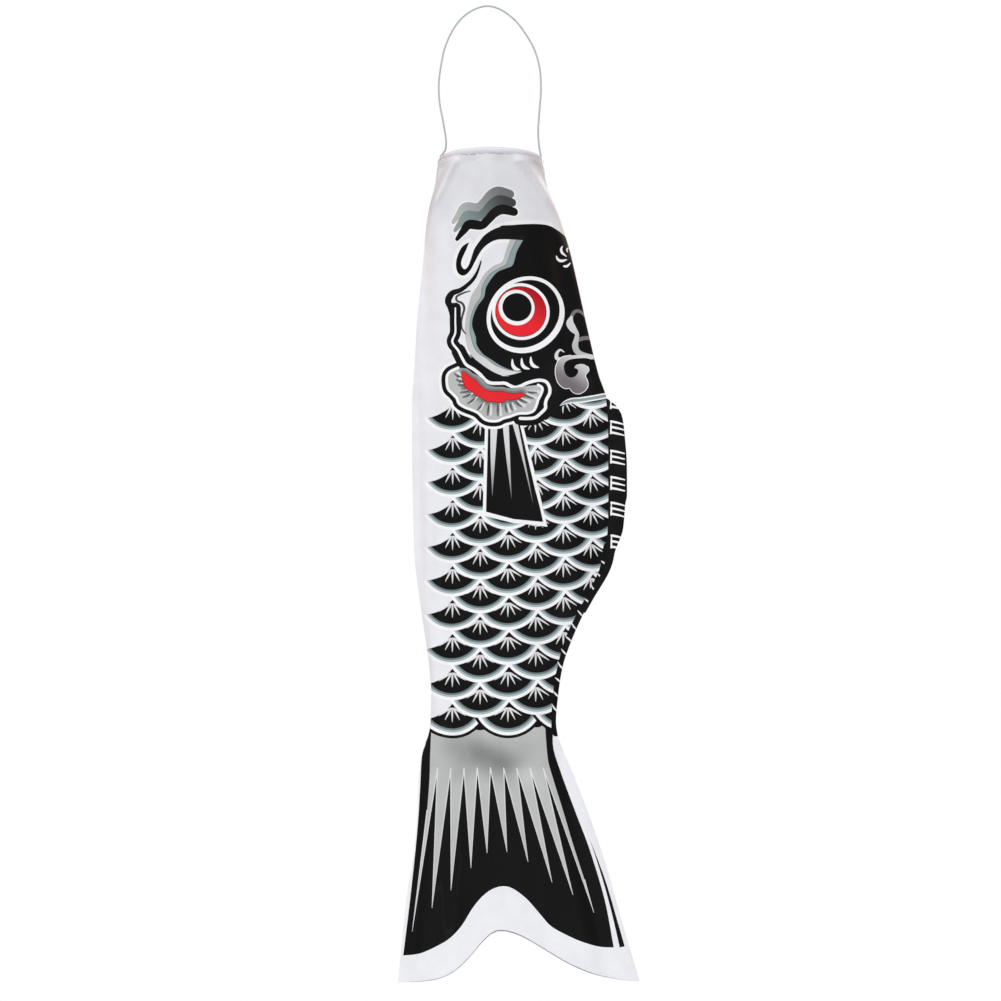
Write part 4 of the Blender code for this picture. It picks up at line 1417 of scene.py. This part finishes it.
@dataclass
class PrintedTube:
    """The printed cloth: two mirrored sides, each cut in three stretches, with their wrong side."""

    form: ClothForm
    finishes: Finishes
    stretches: tuple[Stretch, ...] = (
        Stretch("head", 0.0, 298.0, "mouth", "body", NECK, ("head_cloth",), "mouth_hoop"),
        Stretch("body", 298.0, 458.0, "body", "rear", REAR, ("body_cloth",), "near_head_cloth"),
        Stretch("tail", 458.0, TIP, "rear", "tail", TAIL, ("rear_cloth", "tail_cloth"), "near_body_cloth"),
    )
    flat_width: float = 150.0
    columns: int = 38
    row_gap: float = 4.0
    blend_reach: float = 26.0
    inset: float = 0.9

    def cut(self) -> PrintCut:
        """The print cut into triangles, in flat places: share times the flat width, and down."""
        form = self.form
        width = self.flat_width
        shares = np.linspace(0, 1, self.columns * 3 + 1)
        across = np.linspace(0, 1, self.columns + 1)
        rows = np.arange(0, TIP, self.row_gap)
        grid = np.stack(np.meshgrid(across * width, rows), -1).reshape(-1, 2)
        low, high = form.top(grid[:, 0] / width), form.bottom(grid[:, 0] / width)
        grid = grid[(grid[:, 1] > low + 1) & (grid[:, 1] < high - 1)]
        edges = [
            np.stack([shares * width, form.top(shares)], 1),
            np.stack([shares * width, form.bottom(shares)], 1),
        ]
        for share in (0.0, 1.0):
            downs = np.linspace(float(form.top(np.array(share))), float(form.bottom(np.array(share))), 230)
            edges.append(np.stack([np.full(len(downs), share * width), downs], 1))
        edges += [np.stack([shares * width, np.full(len(shares), piece.end)],
                           1) for piece in self.stretches[:-1]]

        def to_flat(places: Points) -> Points:
            """Flat places of points given across and down."""
            return np.stack([form.share(places[:, 0], places[:, 1]) * width, places[:, 1]], 1)

        def from_flat(flat: Points) -> Points:
            """Points across and down of flat places."""
            return np.stack([form.across(flat[:, 0] / width, flat[:, 1]), flat[:, 1]], 1)

        def keep(middles: Points) -> Points:
            """Which triangles lie on the cloth."""
            share = middles[:, 0] / width
            return (middles[:, 1] > form.top(share)) & (middles[:, 1] < form.bottom(share))

        made = PrintCut(carp(), to_flat, from_flat, edges, grid, keep)
        made.cut()
        log.info("print: %d shapes, %d triangles a side", len(made.shapes), len(made.faces))
        return made

    def side(self, made: PrintCut, colours: Points, stretch: Stretch, side: int) -> bpy.types.Object:
        """One side of one stretch.

        Args:
            made: the cut cloth.
            colours: the ink at each corner of its triangles.
            stretch: which stretch.
            side: -1 for the near side, 1 for the far side.

        Returns:
            The piece of cloth.
        """
        middles = made.points[made.faces].mean(1)[:, 1]
        chosen = np.flatnonzero((middles >= stretch.start) & (middles < stretch.end))
        used, faces = np.unique(made.faces[chosen], return_inverse=True)
        faces = faces.reshape(-1, 3)
        flat = made.points[used]
        share = np.clip(flat[:, 0] / self.flat_width, 0, 1)
        ink = colours[chosen]
        if side > 0:
            faces = faces[:, ::-1]
            ink = ink[:, ::-1]
        name = ("near_" if side < 0 else "far_") + stretch.name + "_cloth"
        points = self.form.points(share, flat[:, 1], side)
        piece = add_mesh(name, points, faces.tolist(), self.finishes.printed)
        paint(piece, ink)
        add_place(piece, np.stack([self.form.across(share, flat[:, 1]), flat[:, 1]], 1))
        piece.data.normals_split_custom_set_from_vertices(self.form.normals(share, flat[:, 1],
                                                                            side).tolist())
        return piece

    def flat_size(self, stretch: Stretch) -> tuple[float, float, float]:
        """The size that one side of a stretch is cut to.

        Args:
            stretch: which stretch.

        Returns:
            Its greatest width, its length and its area, in metres and square metres.
        """
        start, end = max(stretch.start, self.form.hem_end), stretch.end
        shares = np.linspace(0, 1, 61)
        downs = np.linspace(start, end, 61)
        widths = []
        for down in downs:
            row = self.form.points(shares, np.full(61, down), -1)
            lengths = np.linalg.norm(np.diff(row, axis=0), axis=1)
            middles = (shares[1:] + shares[:-1]) / 2
            widths.append(float(lengths[down <= self.form.bottom(middles)].sum()))
        area = float(np.mean(widths)) * (end - start)
        return max(widths) * MM, (end - start) * MM, area * MM * MM

    def wrong_side(self, stretch: Stretch) -> bpy.types.Object:
        """The cloth's wrong side in one stretch: both sides' inner faces as one tube.

        Args:
            stretch: which stretch.

        Returns:
            The inner face.
        """
        count = 44
        start = max(stretch.start, self.form.hem_end)
        rows = max(8, int((stretch.end - start) / 4))
        around = np.concatenate([np.linspace(0, 1, count + 1), np.linspace(1, 0, count + 1)[1:-1]])
        sides = np.concatenate([np.full(count + 1, -1), np.full(count - 1, 1)])
        points, places = [], []
        for i in range(rows + 1):
            t = i / rows
            down = np.full(len(around), start + (stretch.end - start) * t)
            if stretch.start == 0:
                down = np.maximum(down, self.form.top(around) + 0.2)
            inset = np.full(len(around), self.inset)
            if stretch.end == TIP:
                down = start + (self.form.bottom(around) - start) * t
                inset *= min(1.0, (1 - t) * 30)
            near = self.form.points(around, down, -1, inset)
            near[:, 1] *= -sides
            points.append(near)
            places.append(np.stack([near[:, 0], down], 1))
        faces = [face[::-1] for face in grid_faces(rows + 1, len(around), True)]
        piece = add_mesh(stretch.name + "_wrong_side", np.concatenate(points), faces, self.finishes.inside)
        add_place(piece, np.concatenate(places))
        return piece

    def build(self) -> None:
        """Make every piece of the tube, in place of the frame's cloth parts."""
        made = self.cut()
        colours = made.colours()
        for stretch in self.stretches:
            back = self.wrong_side(stretch)
            near, far = (self.side(made, colours, stretch, side) for side in (-1, 1))
            width, length, area = self.flat_size(stretch)
            for piece in (near, far, back):
                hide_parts(*stretch.replaces)
                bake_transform(piece)
            log.info("%s cloth: cut %.0f x %.0f mm, %.4f m2 a side", stretch.name, width * 1000,
                     length * 1000, area)


@dataclass
class MouthHem:
    """The hem that holds the hoop: a roll of cloth, its turned-in edge and its stitches."""

    form: ClothForm
    finishes: Finishes
    notch: float = 9.0
    roll: float = 2.6
    depth: float = 9.8
    stitch_down: float = 4.6
    stitch_length: float = 2.6
    stitch_gap: float = 1.2
    stitch_out: float = 1.95
    thread: float = 0.7
    ply: float = 0.22

    def profile(self) -> list[tuple[float, float]]:
        """The hem's section as (distance out from the hoop's middle, distance below the hoop's middle)."""
        over = [(self.roll * math.cos(t), -self.roll * math.sin(t)) for t in np.linspace(0, math.pi, 15)]
        outside = [(0.9, 3.4), (1.55, 2.2), (2.3, 1.2)]
        inside_run = [(-2.45, 1.0), (-2.2, 1.9), (-1.6, 3.0), (-2.0, 4.4), (-3.4, self.depth - 2.6)]
        return outside + over + inside_run

    def half(self, name: str, side: int) -> bpy.types.Object:
        """The roll round one half of the mouth.

        Args:
            name: the piece's name.
            side: -1 for the front, 1 for the back.

        Returns:
            The roll.
        """
        steps = 150
        gap = self.notch / 2 / HOOP_RADIUS
        turns = np.linspace(math.pi - gap, gap, steps)
        points, places = [], []
        for turn in turns:
            nearest = min(turn, math.pi - turn) - gap
            slim = 1 - 0.32 * math.exp(-((nearest / 0.16) ** 2))
            for i, (out, below) in enumerate(self.profile()):
                pucker = 0.16 * math.sin(turn * 37) + 0.1 * math.sin(turn * 71 + 1.3)
                pucker *= math.exp(-(((below - 2.0) / 1.6) ** 2))
                radius = HOOP_RADIUS + (out * slim if below < 1.5 else out) + pucker
                rise = below * slim if below < 0 else below
                points.append((MOUTH_CENTRE + radius * math.cos(turn), side * radius * math.sin(turn),
                               -(HOOP_DROP + rise)))
                places.append((turn * HOOP_RADIUS, i * 1.1))
        faces = grid_faces(steps, len(self.profile()))
        if side > 0:
            faces = [face[::-1] for face in faces]
        piece = add_mesh(name, np.array(points), faces, self.finishes.plain)
        add_place(piece, np.array(places))
        thick = piece.modifiers.new("ply", "SOLIDIFY")
        thick.thickness = self.ply * MM
        thick.offset = -1
        return piece

    def stitches(self, name: str, side: int) -> bpy.types.Object:
        """The row of stitches round one half of the hem.

        Args:
            name: the piece's name.
            side: -1 for the front, 1 for the back.

        Returns:
            The stitches.
        """
        radius = HOOP_RADIUS + self.stitch_out
        pitch = (self.stitch_length + self.stitch_gap) / radius
        gap = (self.notch / 2 + 1.5) / radius
        parts = []
        for turn in np.arange(gap, math.pi - gap - pitch, pitch):
            share = np.linspace(0, 1, 6)
            angle = turn + share * self.stitch_length / radius
            sink = 0.55 * np.abs(2 * share - 1) ** 3
            down = RIM_DROP + self.stitch_down + 0.12 * math.sin(turn * 23) + 0.15 * (share - 0.5)
            out = radius - sink
            path = np.stack([MOUTH_CENTRE + out * np.cos(angle), side * out * np.sin(angle), -down], 1)
            width = np.sqrt(np.clip(1 - (2 * share - 1) ** 4 * 0.6, 0.1, 1))
            parts.append(tube(path, self.thread / 2 * width, 6))
        points, faces = joined(parts)
        return add_mesh(name, points, faces, self.finishes.thread)

    def build(self) -> None:
        """Make both halves of the hem and their stitches."""
        for word, side in (("front", -1), ("back", 1)):
            roll = self.half(word + "_mouth_hem", side)
            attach(roll, "mouth")
            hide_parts("mouth_hem_" + word)
            stitches = self.stitches(word + "_hem_stitches", side)
            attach(stitches, "mouth")
            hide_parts("hem_thread_" + word)
        log.info("mouth hem: two rolls over the hoop, with stitches")


@dataclass
class DorsalFin:
    """The doubled cloth fin in the back seam, black with groups of three white bars."""

    form: ClothForm
    finishes: Finishes
    top: float = 205.0
    length: float = 180.0
    thickness: float = 0.9
    bars: tuple[float, ...] = (210.0, 229.8, 254.6, 276.8, 298.4, 326.0)
    edge: tuple[tuple[float, float], ...] = (
        (0, 0.8), (0.03, 7), (0.08, 11.6), (0.15, 13), (0.33, 15), (0.45, 15), (0.50, 13.4), (0.61, 12),
        (0.73, 6), (0.84, 4.6), (0.95, 2.4), (1, 1.2),
    )

    def width(self, down: Points) -> Points:
        """How far the fin stands off the seam at each place down."""
        return Line(self.edge).at((np.asarray(down, float) - self.top) / self.length)

    def print(self) -> list[Shape]:
        """The fin's bars."""
        found = [Shape(np.array([(80, 195), (130, 195), (130, 395), (80, 395)], float), Ink.BLACK)]
        for i, middle in enumerate(self.bars):
            for offset in (-4.7, 0.0, 4.6) if i else (-2.0, 2.5):
                start = middle + offset
                route = ((103.4, start - 0.8, 1.9), (108, start, 1.8), (114.4, start + 1.6, 1.0))
                found.append(Shape(brush(route, step=2), Ink.WHITE))
            low, high = (-2.5, 3.0) if not i else (-6.0, 4.6)
            found.append(Shape(brush(((103.4, middle + low, 0.8), (103.2, middle + high, 1.6)), step=2),
                               Ink.WHITE))
        return found

    def layer(self, made: PrintCut, side: int) -> tuple[Points, Points, Points, Points]:
        """One layer of the fin.

        Args:
            made: the fin's print, cut up.
            side: -1 for the near layer, 1 for the far one.

        Returns:
            Points, faces, ink at the corners and flat places.
        """
        flat = made.points
        off = (flat[:, 0] - self.seam(flat[:, 1])) / np.maximum(self.width(flat[:, 1]), 0.5)
        ripple = 0.9 * np.sin((flat[:, 1] - self.top) / 13.0) * np.clip(off, 0, 1) ** 2
        swell = self.thickness / 2 * np.sqrt(np.clip(1 - off**6, 0, 1))
        points = np.stack([flat[:, 0], ripple + side * swell, -(RIM_DROP + flat[:, 1])], 1)
        faces = made.faces if side < 0 else made.faces[:, ::-1]
        ink = made.colours()
        return points, faces, ink if side < 0 else ink[:, ::-1], flat

    def seam(self, down: Points) -> Points:
        """Where the back seam runs."""
        return self.form.lines["back"].at(down)

    def build(self) -> None:
        """Make the fin, in place of the frame's fin parts."""
        downs = np.linspace(self.top, self.top + self.length, 70)
        outer = np.stack([self.seam(downs) + self.width(downs), downs], 1)
        root = np.stack([self.seam(downs) - 1.2, downs], 1)[::-1]
        ring = np.concatenate([outer, root])
        edge = np.concatenate([ring, ring[:1]])
        grid = np.stack(np.meshgrid(np.arange(60, 120, 2.2),
                                    np.arange(self.top, self.top + self.length, 3)), -1)
        grid = grid.reshape(-1, 2)
        grid = grid[inside(grid, ring)]

        def same(places: Points) -> Points:
            """The places as they are, because the fin lies flat."""
            return places

        def keep(middles: Points) -> Points:
            """Which triangles lie on the fin."""
            return inside(middles, ring)

        made = PrintCut(self.print(), same, same, [edge], grid, keep, Ink.BLACK)
        made.cut()
        near = self.layer(made, -1)
        far = self.layer(made, 1)
        points, faces = joined([(near[0], near[1].tolist()), (far[0], far[1].tolist())])
        piece = add_mesh("dorsal_fin_cloth", points, faces, self.finishes.printed)
        paint(piece, np.concatenate([near[2], far[2]]))
        add_place(piece, np.concatenate([near[3], far[3]]))
        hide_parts("dorsal_fin", "dorsal_fin_foot")
        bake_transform(piece)
        widest = float(self.width(downs).max()) + 1.2
        area = 2 * float(np.mean(self.width(downs) + 1.2)) * self.length * MM * MM
        log.info("dorsal fin: %d faces", len(faces))


@dataclass
class BackSeam:
    """The turned-in edges of the two sides inside the back, with their overlock thread."""

    form: ClothForm
    finishes: Finishes
    allowance: float = 4.5
    blend_reach: float = 26.0
    parts: tuple[tuple[str, float, float, str, str, float, tuple[str, ...]], ...] = (
        ("head_seam_edge", 11.0, 298.0, "mouth", "body", NECK, ("back_seam_head",)),
        ("body_seam_edge", 298.0, 458.0, "body", "rear", REAR, ("back_seam_body",)),
        ("tail_seam_edge", 458.0, 683.0, "rear", "tail", TAIL, ("back_seam_rear", "back_seam_tail")),
    )

    def build(self) -> None:
        """Make the seam's edge, in place of the frame's seam parts."""
        for name, start, end, upper, lower, bend, nodes in self.parts:
            downs = np.linspace(start, end, int((end - start) / 3))
            back = self.form.lines["back"].at(downs)
            meshes = []
            for side in (-1, 1):
                rows = []
                for share in (0.0, 0.5, 1.0):
                    spread = side * (0.12 + 0.5 * share + 0.25 * share * np.sin(downs / 6.0))
                    inner = back - 1.6 - self.allowance * share
                    rows.append(np.stack([inner, spread, -(RIM_DROP + downs)], 1))
                grid = np.stack(rows, 1).reshape(-1, 3)
                faces = grid_faces(len(downs), 3)
                meshes.append((grid, faces if side > 0 else [face[::-1] for face in faces]))
            points, faces = joined(meshes)
            piece = add_mesh(name, points, faces, self.finishes.inside)
            add_place(piece, np.stack([points[:, 0], points[:, 2]], 1))
            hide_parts(*nodes)
            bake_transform(piece)
        log.info("back seam: three stretches of turned-in edge")


@dataclass
class CordKnots:
    """The two knots of the cord round the hoop."""

    finishes: Finishes
    turn_radius: float = 1.75
    cord_radius: float = 0.75
    tail_radius: float = 0.7
    lane: float = 0.85

    def build(self) -> None:
        """Make both knots, each two turns round the hoop and a short crossing."""
        for name, across, node in (("left_knot", -1, "cord_knot_left"),
                                   ("right_knot", 1, "cord_knot_right")):
            centre = np.array([MOUTH_CENTRE + across * HOOP_RADIUS, 0, -HOOP_DROP])
            turns = np.linspace(0, 4 * math.pi, 64)
            lane = self.lane * np.cos(turns / 4)
            around = self.turn_radius
            path = np.stack([around * np.cos(turns), lane, around * np.sin(turns)], 1)
            wind = tube(path + centre, self.cord_radius, 8)
            tail = np.array([(0.2, -0.6, 1.9), (0.6 * across, 0.1, 2.4), (0.9 * across, 0.9, 1.6),
                             (0.7 * across, 1.6, 0.2)])
            parts = [wind, tube(smooth(tail, 0.5) + centre, self.tail_radius, 8)]
            points, faces = joined(parts)
            piece = add_mesh(name, points, faces, self.finishes.cord)
            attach(piece, "mouth")
            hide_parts(node)
        log.info("cord knots: two")


def dress_frame(finishes: Finishes) -> None:
    """Give the frame parts that stay their own finishes.

    Args:
        finishes: the finishes.
    """
    for node, finish in (("mouth_hoop", finishes.wire), ("hoop_sleeve", finishes.sleeve)):
        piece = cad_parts[node]
        piece.data.materials.clear()
        piece.data.materials.append(finish)
        log.info("%s: %s", node, finish.name)


def main() -> None:
    """Build the streamer and its studio, piece by piece."""
    logging.basicConfig(level=logging.INFO, format="%(name)s: %(message)s")
    studio = Studio()
    studio.camera()
    finishes = Finishes()
    HangingCord().build(finishes.cord)
    form = ClothForm()
    PrintedTube(form, finishes).build()
    MouthHem(form, finishes).build()
    DorsalFin(form, finishes).build()
    BackSeam(form, finishes).build()
    CordKnots(finishes).build()
    dress_frame(finishes)
    studio.light()
    studio.lay_floor()


if __name__ == "__main__":
    main()
